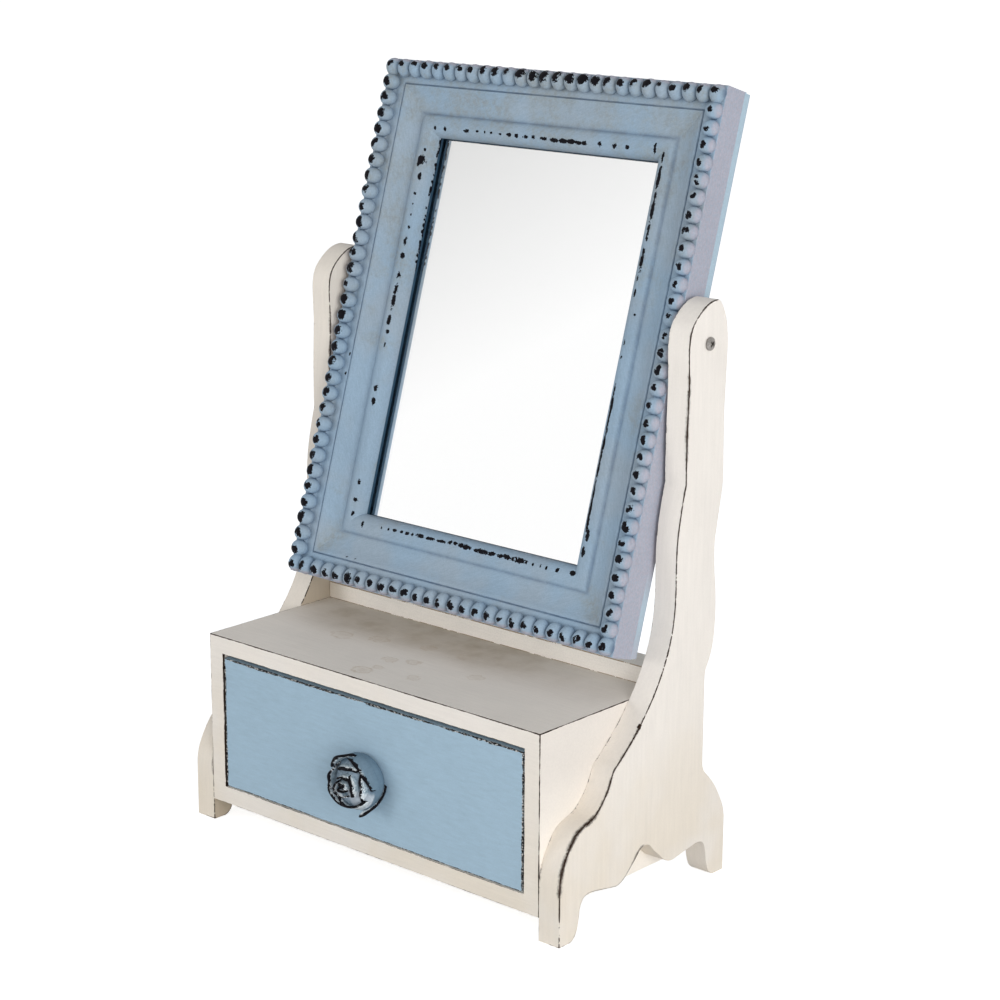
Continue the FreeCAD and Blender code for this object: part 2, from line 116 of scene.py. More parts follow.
# ---- blue paint
drawer_blue = (0.365, 0.50, 0.605)
frame_blue = (0.30, 0.41, 0.52)
frame_grey_blue = (0.325, 0.405, 0.483)
frame_smudge = (0.29, 0.325, 0.335)
frame_side_blue = (0.375, 0.41, 0.49)
frame_side_lilac = (0.425, 0.415, 0.48)
frame_edge_sky = (0.42, 0.54, 0.63)
# pale paint for the petals' worn rims, also used as painted light on the low right petal
petal_pale_and_lit = (0.80, 0.84, 0.86)
# painted shade on the outer faces of the petals
knob_outside_shade = (0.15, 0.225, 0.29)
knob_inside = (0.38, 0.475, 0.54)
knob_vein = (0.17, 0.24, 0.29)
shadow_navy = (0.030, 0.070, 0.115)
# painted shade: multiplied into the paint in creases and hollows
recess_shade_tint = (0.42, 0.46, 0.54)
paint_shine = 0.09

# ---- what shows where paint has gone
undercoat = (0.0045, 0.004, 0.006)
bare_wood = (0.030, 0.017, 0.011)
rubbed_wood = (0.40, 0.29, 0.19)
worn_pale = (0.52, 0.52, 0.50)

# ---- bare stuff
drawer_wood_light = (0.72, 0.55, 0.36)
drawer_wood_dark = (0.60, 0.42, 0.25)
dowel_light = (0.66, 0.50, 0.33)
dowel_dark = (0.50, 0.36, 0.22)
screw_steel = (0.36, 0.34, 0.32)
card_dark = (0.30, 0.27, 0.23)
card_light = (0.44, 0.40, 0.34)
glass_tint = (0.985, 0.99, 0.988)
# painted reflection: a grey for the silvering's upper left
silver_reflection_grey = (0.72, 0.72, 0.715)
white = (1.0, 1.0, 1.0)

# ---- room, lamps and eye
sky_tint = (0.97, 0.985, 1.0)
sky_level = 0.585
sky_low_share = 1.2
sky_high_share = 0.64
floor_pale = (0.80, 0.80, 0.80)
floor_reach = 14.0
floor_glow = 0.72
lit_point = (0, 0, 0.15)
key_lamp = {"place": (-1.15, -1.6, 0.40), "size": 0.8, "power": 7.8}
right_lamp = {"place": (1.35, -0.7, 0.45), "size": 0.9, "power": 13.0}
eye_around = math.radians(41.59)
eye_above = math.radians(14.75)
eye_roll = math.radians(0.25)
eye_target = Vector((0.03213, -0.00484, 0.18358))
eye_distance = 1.1887
eye_lens = 89.69


def pivot_point():
    return next(Vector(joint["pos_m"]) for joint in frame["joints"] if joint["name"] == "mirror_tilt")


def mirror_place():
    """From the upright frame's middle to its place on the pivots."""
    lean = Matrix.Rotation(-mirror_lean, 4, "X")
    return Matrix.Translation(pivot_point()) @ lean @ Matrix.Translation((0, 0, -pivot_above_middle * mm))


def corners_of(node):
    """A node's lowest and highest corners at rest."""
    return [Vector(corner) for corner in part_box(node)]


# ---- node trees
class Tree:
    """A node tree being made. A call adds a node, links or sets what it is given, and returns an output."""

    def __init__(self, tree):
        self.tree = tree

    def put(self, value, socket):
        if isinstance(value, bpy.types.NodeSocket):
            self.tree.links.new(value, socket)
        elif value is not None:
            if socket.type == "RGBA" and len(value) == 3:
                value = (*value, 1.0)
            socket.default_value = value

    def node(self, kind, inputs=(), **settings):
        made = self.tree.nodes.new(kind)
        for name, value in settings.items():
            setattr(made, name, value)
        pairs = inputs.items() if isinstance(inputs, dict) else enumerate(inputs)
        for key, value in pairs:
            self.put(value, made.inputs[key])
        return made

    def math(self, operation, *values, clamp=False):
        return self.node("ShaderNodeMath", values, operation=operation, use_clamp=clamp).outputs[0]

    def fold(self, operation, first, *others, clamp=False):
        """The first value, with each of the others taken in after it."""
        for other in others:
            first = self.math(operation, first, other, clamp=clamp)
        return first

    plus = partialmethod(fold, "ADD")
    minus = partialmethod(fold, "SUBTRACT")
    times = partialmethod(fold, "MULTIPLY")
    most = partialmethod(fold, "MAXIMUM")

    def swing(self, value, amount):
        """How far a noise is above or below its middle, times amount."""
        return self.times(self.minus(value, 0.5), amount)

    def vector(self, operation, *values):
        made = self.node("ShaderNodeVectorMath", values, operation=operation)
        return made.outputs["Value" if operation in ("DOT_PRODUCT", "LENGTH") else "Vector"]

    def scaled(self, place, shares):
        return self.vector("MULTIPLY", place, shares)

    def axes(self, place):
        return self.node("ShaderNodeSeparateXYZ", (place,)).outputs

    def ramp(self, value, low, high, to_low=0.0, to_high=1.0, smooth=True):
        kind = "SMOOTHSTEP" if smooth else "LINEAR"
        inputs = {"Value": value, "From Min": low, "From Max": high, "To Min": to_low, "To Max": to_high}
        return self.node("ShaderNodeMapRange", inputs, interpolation_type=kind, clamp=True).outputs["Result"]

    def between(self, value, low, high, fade):
        """1 where value lies between low and high, fading out over fade."""
        return self.times(self.ramp(value, low - fade, low), self.ramp(value, high, high + fade, 1.0, 0.0))

    def mix(self, share, a, b, blend="MIX"):
        inputs = {0: share, 6: a, 7: b}
        return self.node("ShaderNodeMix", inputs, data_type="RGBA", blend_type=blend).outputs[2]

    def noise(self, place, scale, detail=3.0, roughness=0.55, distortion=0.0):
        inputs = {"Vector": place, "Scale": scale, "Detail": detail}
        inputs |= {"Roughness": roughness, "Distortion": distortion}
        return self.node("ShaderNodeTexNoise", inputs).outputs["Fac"]

    def attribute(self, name, output="Fac"):
        return self.node("ShaderNodeAttribute", attribute_name=name).outputs[output]

    def own_place(self):
        return self.node("ShaderNodeTexCoord").outputs["Object"]

    def group(self, group, **values):
        made = self.tree.nodes.new("ShaderNodeGroup")
        made.node_tree = group
        for name, value in values.items():
            self.put(value, made.inputs[name.replace("_", " ")])
        return made.outputs


def new_group(name, inputs, outputs):
    """A shader node group; a socket is (name, kind, default), where kind is Float, Color or Vector."""
    group = bpy.data.node_groups.new(name, "ShaderNodeTree")
    for direction, sockets in (("INPUT", inputs), ("OUTPUT", outputs)):
        for label, kind, *default in sockets:
            made = group.interface.new_socket(label, in_out=direction, socket_type="NodeSocket" + kind)
            if default:
                made.default_value = (*default[0], 1.0) if kind == "Color" else default[0]
    entry = group.nodes.new("NodeGroupInput").outputs
    leave = group.nodes.new("NodeGroupOutput").inputs
    return group, Tree(group), entry, leave


def edge_nearness_group():
    """How near a point is to a sharp edge: 1 on it, 0 from Width away."""
    sockets = [("Width", "Float", 1.5 * mm)], [("Nearness", "Float")]
    group, tree, entry, leave = new_group("edge nearness", *sockets)
    rounded = tree.node("ShaderNodeBevel", {"Radius": entry["Width"]}, samples=12).outputs[0]
    plain = tree.node("ShaderNodeNewGeometry").outputs["Normal"]
    turn = tree.minus(1.0, tree.vector("DOT_PRODUCT", rounded, plain))
    at_square_edge = 0.293
    tree.put(tree.math("SQRT", tree.math("DIVIDE", turn, at_square_edge, clamp=True)), leave["Nearness"])
    return group


def chipped_paint_group():
    """Brushed paint over a dark undercoat, chipped where Wear is high and darkened where Recess is high, as
    painted shade in creases and hollows.
    """
    group, tree, entry, leave = new_group(
        "chipped paint",
        [
            ("Paint", "Color", cream),
            ("Undercoat", "Color", undercoat),
            ("Place", "Vector", (0, 0, 0)),
            ("Brush", "Vector", (0, 0, 0)),
            ("Wear", "Float", 0.0),
            ("Recess", "Float", 0.0),
            ("Streaks", "Float", 0.06),
            ("Mottle", "Float", 0.06),
            ("Chip Scale", "Float", 1200.0),
            ("Ragged", "Float", 1.0),
            ("Halo", "Float", 0.2),
            ("Grit", "Float", 0.05),
        ],
        [("Color", "Color"), ("Roughness", "Float"), ("Height", "Float")],
    )
    streak = tree.noise(entry["Brush"], 1.0, 4.0, 0.65)
    cloud = tree.noise(entry["Place"], 34.0, 3.0, 0.6)
    grit = tree.noise(entry["Place"], 1500.0, 2.0, 0.6)
    fine = tree.noise(entry["Place"], entry["Chip Scale"], 3.0, 0.7)
    broad = tree.noise(entry["Place"], tree.times(entry["Chip Scale"], 0.22), 2.0, 0.5)
    uneven = tree.times(tree.plus(tree.swing(fine, 0.65), tree.swing(broad, 0.65)), entry["Ragged"])
    worn = tree.times(entry["Wear"], 2.0, clamp=True)
    depth = tree.plus(entry["Wear"], tree.times(uneven, worn))
    chip = tree.ramp(depth, 0.47, 0.53)
    rim = tree.ramp(depth, 0.34, 0.46)
    light = tree.plus(tree.swing(streak, entry["Streaks"]), tree.swing(cloud, entry["Mottle"]))
    light = tree.plus(light, tree.plus(tree.swing(grit, entry["Grit"]), 1.0))
    light = tree.plus(light, tree.times(tree.minus(rim, chip, clamp=True), entry["Halo"]))
    lit = tree.node("ShaderNodeCombineColor", (light, light, light)).outputs[0]
    paint = tree.mix(1.0, entry["Paint"], lit, "MULTIPLY")
    # painted shade: Recess darkens the paint towards a blue grey
    recess_shaded = tree.mix(1.0, paint, recess_shade_tint, "MULTIPLY")
    paint = tree.mix(entry["Recess"], paint, recess_shaded)
    tree.put(tree.mix(chip, paint, entry["Undercoat"]), leave["Color"])
    matt = tree.plus(0.48, tree.times(cloud, 0.12))
    tree.put(tree.plus(matt, tree.times(chip, 0.12)), leave["Roughness"])
    relief = tree.plus(tree.times(streak, 0.35), tree.times(grit, 0.25))
    tree.put(tree.minus(relief, tree.times(chip, 1.2)), leave["Height"])
    return group


edge_nearness = edge_nearness_group()
chipped_paint = chipped_paint_group()


def new_material(name, **constants):
    """A material of one shader, with constants set on the shader's own sockets."""
    made = bpy.data.materials.new(name)
    made.use_nodes = True
    made.node_tree.nodes.clear()
    tree = Tree(made.node_tree)
    shader = tree.node("ShaderNodeBsdfPrincipled")
    tree.put(shader.outputs[0], tree.node("ShaderNodeOutputMaterial").inputs[0])
    for label, value in constants.items():
        tree.put(value, shader.inputs[label.replace("_", " ")])
    return made, tree, shader.inputs


def finish_relief(tree, shader, height, depth, strength=0.6):
    """Leads a height to the shader's normal; depth is in millimetres."""
    bump = tree.node("ShaderNodeBump", {"Strength": strength, "Distance": depth * mm, "Height": height})
    tree.put(bump.outputs[0], shader["Normal"])


def finish_paint(tree, shader, paint, depth=0.10, peel=None):
    """Leads a paint group's outputs to the shader, with any peel added to its relief."""
    tree.put(paint["Color"], shader["Base Color"])
    tree.put(paint["Roughness"], shader["Roughness"])
    height = tree.plus(paint["Height"], peel) if peel else paint["Height"]
    finish_relief(tree, shader, height, depth)


# ---- cream boards
def aged(tree, place):
    """Cream that has yellowed towards the foot, more in some places than in others."""
    low = tree.ramp(tree.axes(place)["Z"], 0.0, 0.15, yellowing, 0.0)
    patches = tree.ramp(tree.noise(place, 17.0, 3.0, 0.6), 0.38, 0.62, 0.3, 1.0)
    return tree.mix(tree.times(low, patches), cream, aged_cream)


def box_cream(tree, place):
    """The box has yellowed on its front; its sides are painted darker at their top and lighter at their foot,
    as painted shade and light.
    """
    front = corners_of("box_top")[0].y
    axis = tree.axes(place)
    # painted light low on the sides, painted shade higher up
    sides = tree.mix(tree.ramp(axis["Z"], 0.030, 0.085), painted_light_cream, box_side_shade_cream)
    on_front = tree.ramp(axis["Y"], front + 0.1 * mm, front + 0.3 * mm, 1.0, 0.0)
    return tree.mix(on_front, sides, aged(tree, place))


def panel_cream(tree, place):
    """The left panel is yellower all the way up, and its inner face is darker low down, painted shade with
    some grime.
    """
    axis = tree.axes(place)
    left = tree.ramp(axis["X"], -0.1, 0.1, 0.30, 0.0)
    colour = tree.mix(left, aged(tree, place), aged_cream)
    inner = corners_of("left_side_panel")[1].x
    inside = tree.between(axis["X"], inner - 0.1 * mm, 0.0, 0.1 * mm)
    # painted shade with grime, low on the inner face
    shade_and_grime = tree.times(inside, tree.ramp(axis["Z"], 0.130, 0.180, 0.80, 0.0))
    return tree.mix(shade_and_grime, colour, shade_and_soil)


def bar_cream(tree, place):
    """The crossbar is painted bright, as painted light under the mirror's shade, with a yellowed left end."""
    # painted light: the crossbar is brightened under the mirror's shade
    bright = tree.mix(tree.ramp(tree.noise(place, 40.0), 0.4, 0.7, 0.0, 0.3), painted_light_cream, cream)
    return tree.mix(tree.ramp(tree.axes(place)["X"], -0.115, -0.080, 0.5, 0.0), bright, aged_cream)


def cream_material(
    name, brush, colour, edge_wear, reach=None, beneath=bare_wood, nicks=None, ragged=1.0, grit=0.09
):
    """Cream paint on a board. brush is how often its brush marks change along each axis, edge_wear how worn
    its edges are, reach how far from a sharp edge that goes, and nicks any chips besides."""
    made, tree, shader = new_material(name, Specular_IOR_Level=paint_shine)
    place = tree.own_place()
    near = tree.group(edge_nearness, Width=reach(tree, place))["Nearness"] if reach else 1.0
    drift = tree.ramp(tree.noise(place, 70.0, 2.0), 0.35, 0.65, -0.10, 0.10)
    wear = tree.times(near, tree.plus(edge_wear(tree, place), drift))
    if nicks:
        wear = tree.most(wear, nicks(tree, place))
    paint = tree.group(
        chipped_paint, Paint=colour(tree, place), Undercoat=beneath, Place=place,
        Brush=tree.scaled(place, brush), Wear=wear, Streaks=0.14, Mottle=0.10, Chip_Scale=1100.0,
        Ragged=ragged, Halo=0.03, Grit=grit,
    )
    finish_paint(tree, shader, paint)
    return made


# rings and blots on the box top: x, y, radius, strength; millimetres
stain_rings = [
    (-13, -54, 4.6, 0.55), (-13, -34, 3.4, 0.45), (-2, -29, 3.2, 0.40), (-10, -46, 2.6, 0.35),
    (14, -46, 3.0, 0.30), (36, -26, 3.6, 0.35), (-40, -14, 4.2, 0.50), (-12, -8, 3.6, 0.40),
    (11, -7, 3.4, 0.35), (-59, -22, 5.0, 0.45),
]


def drop_marks(tree, place):
    """How strongly a point is marked by the rings and blots."""
    uneven = tree.swing(tree.noise(place, 260.0, 4.0, 0.65), 6.5 * mm)
    mark = 0.0
    for x, y, radius, strength in stain_rings:
        off = tree.scaled(tree.vector("SUBTRACT", place, (x * mm, y * mm, 0)), (0.8, 1.0, 0.0))
        away = tree.plus(tree.vector("LENGTH", off), uneven)
        ring = tree.between(away, (radius - 0.6) * mm, (radius - 0.2) * mm, 0.8 * mm)
        blot = tree.ramp(away, 0.2 * radius * mm, 1.1 * radius * mm, 0.6, 0.0)
        mark = tree.most(mark, tree.times(tree.most(ring, blot), strength))
    return mark


def stains_and_shade(tree, place):
    """Faint brown rings, as drops leave on old paint, a top painted a little lighter as painted light, and a
    greyer patch under the mirror, painted shadow with some grime.
    """
    axis = tree.axes(place)
    top = corners_of("box_top")[1].z
    upper = tree.ramp(axis["Z"], top - 0.4 * mm, top - 0.2 * mm)
    rear = tree.ramp(axis["Y"], -0.030, 0.006, 0.0, 0.95)
    behind = tree.ramp(axis["Y"], 0.008, 0.034, 1.0, 0.55)
    left = tree.ramp(axis["X"], -0.105, -0.080, 0.5, 1.0)
    right = tree.ramp(axis["X"], 0.010, 0.090, 1.0, 0.22)
    clouds = tree.ramp(tree.noise(place, 30.0, 4.0, 0.65), 0.36, 0.70, 0.6, 1.0)
    # painted shadow with grime under the mirror
    shade_and_grime = tree.times(rear, behind, tree.times(left, right), clouds)
    # painted light: the top is made a little lighter
    lit_top = tree.mix(tree.times(upper, 0.4), box_cream(tree, place), painted_light_cream)
    shaded_and_soiled = tree.mix(tree.times(shade_and_grime, upper), lit_top, shade_and_soil)
    faint = tree.ramp(tree.noise(place, 120.0, 3.0), 0.35, 0.65, 0.35, 0.85)
    return tree.mix(tree.times(drop_marks(tree, place), faint, upper), shaded_and_soiled, drop_brown)


def line_wear(tree, place, lines):
    """How worn a point is by its distance from straight edges. Each edge is its middle, half its length along
    each axis, the wear's width in millimetres and its strength."""
    nears = []
    for middle, half, width, strength in lines:
        off = tree.vector("SUBTRACT", tree.vector("ABSOLUTE", tree.vector("SUBTRACT", place, middle)), half)
        away = tree.vector("LENGTH", tree.vector("MAXIMUM", off, (0, 0, 0)))
        nears.append(tree.ramp(away, 0.0, width * mm, strength, 0.0, smooth=False))
    return tree.most(*nears)


def box_edges(tree, place):
    """The box is rubbed dark along its outer edges, and thinly round the drawer's opening, whose left inner
    wall is painted dark as shade.
    """
    low, high = corners_of("box_top")
    foot = corners_of("box_bottom")[0].z
    wide, deep = high.x, (high.y - low.y) / 2
    middle = (low.y + high.y) / 2
    tall = (high.z - foot) / 2
    waist = foot + tall
    opening = corners_of("box_right_side")[0].x
    sill, lintel = (corner.z for corner in corners_of("box_left_side"))
    jamb, half_jamb = (sill + lintel) / 2, (0, 0, (lintel - sill) / 2)
    lines = [
        ((0, low.y, high.z), (wide, 0, 0), 0.75, 0.98),
        ((wide, middle, high.z), (0, deep, 0), 0.7, 0.96),
        ((-wide, middle, high.z), (0, deep, 0), 0.7, 0.74),
        ((wide, low.y, waist), (0, 0, tall), 0.8, 0.86),
        # painted shade: the opening's left inner wall is darkened
        ((-opening, low.y + 0.9 * mm, jamb), half_jamb, 1.3, 1.3),
        ((-wide, low.y, waist), (0, 0, tall), 0.6, 0.58),
        ((0, low.y, foot), (wide, 0, 0), 0.6, 0.64),
        ((0, low.y, sill), (opening, 0, 0), 0.5, 0.66),
        ((0, low.y, lintel), (opening, 0, 0), 0.5, 0.78),
        ((opening, low.y, jamb), half_jamb, 0.5, 0.66),
        ((-opening, low.y, jamb), half_jamb, 0.5, 0.66),
    ]
    return line_wear(tree, place, lines)


def same_all_over(amount):
    return lambda tree, place: amount


# nicks beside the right panel's front edge: y, z, the nick's reach; millimetres
panel_nicks = [(-8.8, 92.4, 2.5), (-48.0, 55.6, 2.7), (-60.2, 45, 2.4)]


def panel_nick_wear(tree, place):
    outer = corners_of("right_side_panel")[1].x
    points = [((outer, y * mm, z * mm), (0, 0, 0), reach, 1.2) for y, z, reach in panel_nicks]
    return line_wear(tree, place, points)


def panel_foot(tree, place):
    """1 along the curve of each front foot, where the paint has gone most, less above it, and 0 elsewhere."""
    height = tree.axes(place)["Z"]
    foot = tree.between(height, 0.027, 0.056, 0.005)
    return tree.most(foot, tree.times(tree.between(height, 0.050, 0.091, 0.003), 0.42))


def panel_column(tree, place):
    """1 along the upper part of each column's edge."""
    return tree.between(tree.axes(place)["Z"], 0.215, 0.251, 0.006)


def panel_wear(tree, place):
    """The side panels are rubbed along their front edges and over their heads, most at feet and columns."""
    axis = tree.axes(place)
    middle = tree.ramp(axis["Z"], 0.03, 0.14, -0.005, 0.032, smooth=False)
    front = tree.ramp(tree.minus(axis["Y"], middle), -0.004, 0.004, 1.0, 0.0)
    head = tree.times(tree.ramp(axis["Z"], 0.262, 0.270), tree.ramp(axis["Y"], 0.042, 0.048, 1.0, 0.0))
    left_inner = tree.between(axis["X"], -0.116, 0.0, 0.0005)
    right_outer = tree.ramp(axis["X"], 0.116, 0.1165)
    seen = tree.most(left_inner, right_outer)
    foot = tree.times(panel_foot(tree, place), 0.40)
    column = tree.times(panel_column(tree, place), 0.22)
    toe = tree.times(right_outer, tree.ramp(axis["Z"], 0.004, 0.020, 0.16, 0.0))
    extra = tree.plus(foot, column, tree.times(right_outer, 0.08))
    edge = tree.plus(0.39, tree.times(seen, tree.plus(0.29, extra)))
    return tree.times(tree.most(front, head), tree.minus(edge, toe))


def panel_reach(tree, place):
    """How far from the panels' edges the wear reaches."""
    foot = tree.times(panel_foot(tree, place), 2.2 * mm)
    return tree.plus(2.0 * mm, tree.plus(foot, tree.times(panel_column(tree, place), 1.4 * mm)))


# ---- blue boards
def blue_material(name, brush, colour, wear, beneath):
    """Blue paint on a flat board; wear says where it is rubbed through to what is beneath."""
    made, tree, shader = new_material(name, Specular_IOR_Level=paint_shine)
    place = tree.own_place()
    paint = tree.group(
        chipped_paint, Paint=colour(tree, place), Undercoat=beneath(tree, place), Place=place,
        Brush=tree.scaled(place, brush), Wear=wear(tree, place), Streaks=0.26, Mottle=0.08, Chip_Scale=1300.0,
        Ragged=1.5, Halo=0.12, Grit=0.16,
    )
    finish_paint(tree, shader, paint, 0.16)
    return made


def flecked_undercoat(tree, place):
    """The dark undercoat, itself worn to a pale ground in flecks."""
    flecks = tree.noise(tree.scaled(place, (0.5, 1.0, 1.0)), 1500.0, 2.0)
    return tree.mix(tree.ramp(flecks, 0.50, 0.60), undercoat, worn_pale)


def sky_colour(tree, place):
    """The back board's edge: sky blue, with the frame's lilac over it in places."""
    patches = tree.ramp(tree.noise(place, 9.0, 2.0), 0.42, 0.58)
    return tree.mix(patches, frame_side_lilac, frame_edge_sky)


def back_colour(tree, place):
    """The back board: plain grey blue on its back, and sky blue at its edges."""
    behind = mirror_place().to_3x3() @ Vector((0, 1, 0))
    face = (mirror_place() @ Vector((0, board_face * mm, 0))).dot(behind)
    depth = tree.vector("DOT_PRODUCT", place, tuple(behind))
    on_back = tree.ramp(depth, face - 0.5 * mm, face - 0.2 * mm)
    return tree.mix(on_back, sky_colour(tree, place), frame_grey_blue)


def back_wear(tree, place):
    return tree.times(tree.group(edge_nearness, Width=1.2 * mm)["Nearness"], 0.3)


def drawer_edges(tree, place):
    """The drawer front is rubbed dark round its edges, in a broad uneven band along the top."""
    low, high = corners_of("drawer_front")
    middle = (low + high) / 2
    half = (high - low) / 2
    lines = [
        ((0, low.y, high.z), (half.x, 0, 0), 1.7, 0.86),
        ((low.x, low.y, middle.z), (0, 0, half.z), 1.6, 1.1),
        ((high.x, low.y, middle.z), (0, 0, half.z), 1.6, 0.98),
        ((0, low.y, low.z), (half.x, 0, 0), 0.7, 0.78),
    ]
    worn = line_wear(tree, place, lines)
    drift = tree.ramp(tree.noise(place, 60.0, 2.0), 0.35, 0.65, -0.2, 0.2)
    return tree.plus(worn, tree.times(drift, worn))


def moulding_material():
    """The frame's blue. Its wear, recess, smudge, side, shade and sky are set on the moulding by point;
    recess and shade are painted shade.
    """
    made, tree, shader = new_material("frame paint", Specular_IOR_Level=paint_shine)
    place = tree.own_place()
    side = tree.attribute("side")
    hue = tree.ramp(tree.noise(place, 26.0, 3.0), 0.40, 0.62)
    blue = tree.mix(hue, frame_blue, frame_grey_blue)
    higher = tree.ramp(tree.axes(place)["Z"], 0.15, 0.36, -0.07, 0.08, smooth=False)
    rubbed = tree.ramp(tree.plus(tree.noise(place, 42.0, 5.0, 0.7), higher), 0.48, 0.70, 0.0, 0.8)
    rubbed = tree.most(rubbed, tree.times(tree.attribute("smudge"), 0.8))
    grain = tree.ramp(tree.noise(place, 420.0, 3.0, 0.7), 0.38, 0.62, 0.35, 1.0)
    blue = tree.mix(tree.times(rubbed, grain), blue, frame_smudge)
    speckled = tree.ramp(tree.noise(place, 800.0, 3.0, 0.7), 0.42, 0.60)
    colour = tree.mix(side, blue, tree.mix(speckled, frame_side_lilac, frame_side_blue))
    colour = tree.mix(tree.attribute("sky"), colour, sky_colour(tree, place))
    colour = tree.mix(tree.attribute("shade"), colour, shadow_navy)
    # the brush went a little aslant of the rail
    along = {"Vector": tree.attribute("run", "Vector"), "Angle": math.radians(24)}
    slant = tree.node("ShaderNodeVectorRotate", along, rotation_type="Y_AXIS").outputs[0]
    # painted shade in the creases, made uneven
    recess = tree.times(tree.attribute("recess"), tree.ramp(tree.noise(place, 130.0), 0.35, 0.6, 0.65, 1.0))
    paint = tree.group(
        chipped_paint, Paint=colour, Place=place, Brush=tree.scaled(slant, (180.0, 1200.0, 1400.0)),
        Wear=tree.attribute("wear"), Recess=recess, Streaks=0.36, Mottle=0.16, Chip_Scale=1250.0, Ragged=2.0,
        Halo=0.2, Grit=0.32,
    )
    peel = tree.times(tree.noise(place, 620.0, 2.0), tree.times(side, 2.2))
    finish_paint(tree, shader, paint, 0.12, peel)
    return made


def knob_material():
    """Blue-grey paint on a cast rose, rubbed black along the petals' rims, with painted shade on its outer
    faces and in its folds, and painted light on the low right petal's inner side.
    """
    made, tree, shader = new_material("rose paint", Specular_IOR_Level=paint_shine)
    place = tree.own_place()
    centre = knob_centre * mm
    away = tree.scaled(tree.vector("SUBTRACT", place, centre), (1, 0, 1))
    outwards = tree.vector("NORMALIZE", away)
    normal = tree.node("ShaderNodeNewGeometry").outputs["Normal"]
    # painted shade: petal faces turned outwards are painted dark
    facing = tree.ramp(tree.vector("DOT_PRODUCT", outwards, normal), -0.1, 0.4)
    outside = tree.times(facing, tree.ramp(tree.vector("LENGTH", away), 10.5 * mm, 12.5 * mm))
    # painted light: the low petal at the lower right is painted pale on its inner side
    low_right = tree.vector("DOT_PRODUCT", outwards, (0.68, 0.0, -0.73))
    proud = tree.ramp(tree.axes(place)["Y"], centre.y - 8.2 * mm, centre.y - 7.2 * mm, 1.0, 0.0)
    cupped = tree.times(tree.ramp(low_right, 0.72, 0.90), proud)
    outside = tree.times(outside, tree.minus(1.0, cupped))
    veins = tree.ramp(tree.noise(place, 700.0, 4.0, 0.7), 0.44, 0.64, 0.0, 0.8)
    colour = tree.mix(veins, knob_inside, knob_vein)
    colour = tree.mix(tree.times(cupped, 0.6), colour, petal_pale_and_lit)
    colour = tree.mix(outside, colour, knob_outside_shade)
    wear = tree.attribute("wear")
    ragged = tree.swing(tree.noise(place, 1100.0, 3.0, 0.7), 2.2)
    pale = tree.ramp(tree.plus(wear, ragged), 0.28, 0.40, 0.0, 0.8)
    pale = tree.times(pale, tree.ramp(wear, 0.10, 0.25), tree.minus(1.0, outside))
    paint = tree.group(
        chipped_paint, Paint=tree.mix(pale, colour, petal_pale_and_lit), Place=place,
        Brush=tree.scaled(place, (500.0, 120.0, 500.0)), Wear=wear, Recess=tree.attribute("recess"),
        Streaks=0.4, Mottle=0.3, Chip_Scale=1500.0, Ragged=1.6, Halo=0.1, Grit=0.3,
    )
    finish_paint(tree, shader, paint, 0.16)
    return made


# ---- bare stuff
def wood_material(name, light, dark, along):
    """Bare wood; along is how often its grain changes along each axis."""
    made, tree, shader = new_material(name)
    stretched = tree.scaled(tree.own_place(), along)
    grain = tree.noise(stretched, 1.0, 5.0, 0.6, 0.6)
    pores = tree.noise(tree.scaled(stretched, (3.0, 3.0, 3.0)), 1.0, 3.0, 0.7)
    share = tree.plus(tree.ramp(grain, 0.35, 0.65), tree.ramp(pores, 0.55, 0.75, 0.0, 0.4), clamp=True)
    tree.put(tree.mix(share, light, dark), shader["Base Color"])
    tree.put(tree.plus(0.55, tree.times(grain, 0.15)), shader["Roughness"])
    finish_relief(tree, shader, grain, 0.08, 0.4)
    return made


def steel_material():
    made, tree, shader = new_material("screw steel", Metallic=1.0)
    scratch = tree.noise(tree.scaled(tree.own_place(), (900.0, 900.0, 3000.0)), 1.0, 3.0)
    darker = [0.6 * channel for channel in screw_steel]
    tree.put(tree.mix(tree.ramp(scratch, 0.3, 0.7), screw_steel, darker), shader["Base Color"])
    tree.put(tree.plus(0.3, tree.times(scratch, 0.2)), shader["Roughness"])
    return made


def glass_material():
    """Clear flat glass, faintly green."""
    made, tree, shader = new_material("mirror glass", Roughness=0.0, IOR=1.5, Transmission_Weight=1.0)
    tree.put(tree.mix(tree.noise(tree.own_place(), 9.0, 2.0), glass_tint, white), shader["Base Color"])
    return made


def silver_material():
    made, tree, shader = new_material("silvering", Roughness=0.0, Metallic=1.0)
    place = tree.own_place()
    haze = tree.times(tree.noise(place, 7.0, 2.0), 0.02)
    # painted reflection: the silver is made a little greyer towards its upper left corner, for a darker
    # surrounding reflected there
    clear = tree.plus(tree.vector("DOT_PRODUCT", place, (1.17, 0.0, -2.0)), tree.plus(1.47, haze))
    tree.put(tree.mix(tree.ramp(clear, 0.70, 1.0, smooth=False), silver_reflection_grey, white), shader["Base Color"])
    return made


def card_material():
    made, tree, shader = new_material("grey card", Roughness=0.9)
    fibres = tree.noise(tree.own_place(), 700.0, 4.0, 0.7)
    tree.put(tree.mix(fibres, card_dark, card_light), shader["Base Color"])
    return made


# ---- meshes
def mesh_piece(name, points, faces, values, material):
    """A piece from points in metres; values are point attributes by name, floats or vectors."""
    mesh = bpy.data.meshes.new(name)
    mesh.from_pydata([tuple(p) for p in points], [], faces)
    for key, data in values.items():
        data = np.asarray(data, np.float32)
        kind = "FLOAT_VECTOR" if data.ndim == 2 else "FLOAT"
        made = mesh.attributes.new(key, kind, "POINT")
        made.data.foreach_set("vector" if data.ndim == 2 else "value", data.ravel())
    mesh.update()
    piece = bpy.data.objects.new(name, mesh)
    bpy.context.scene.collection.objects.link(piece)
    mesh.materials.append(material)
    return piece


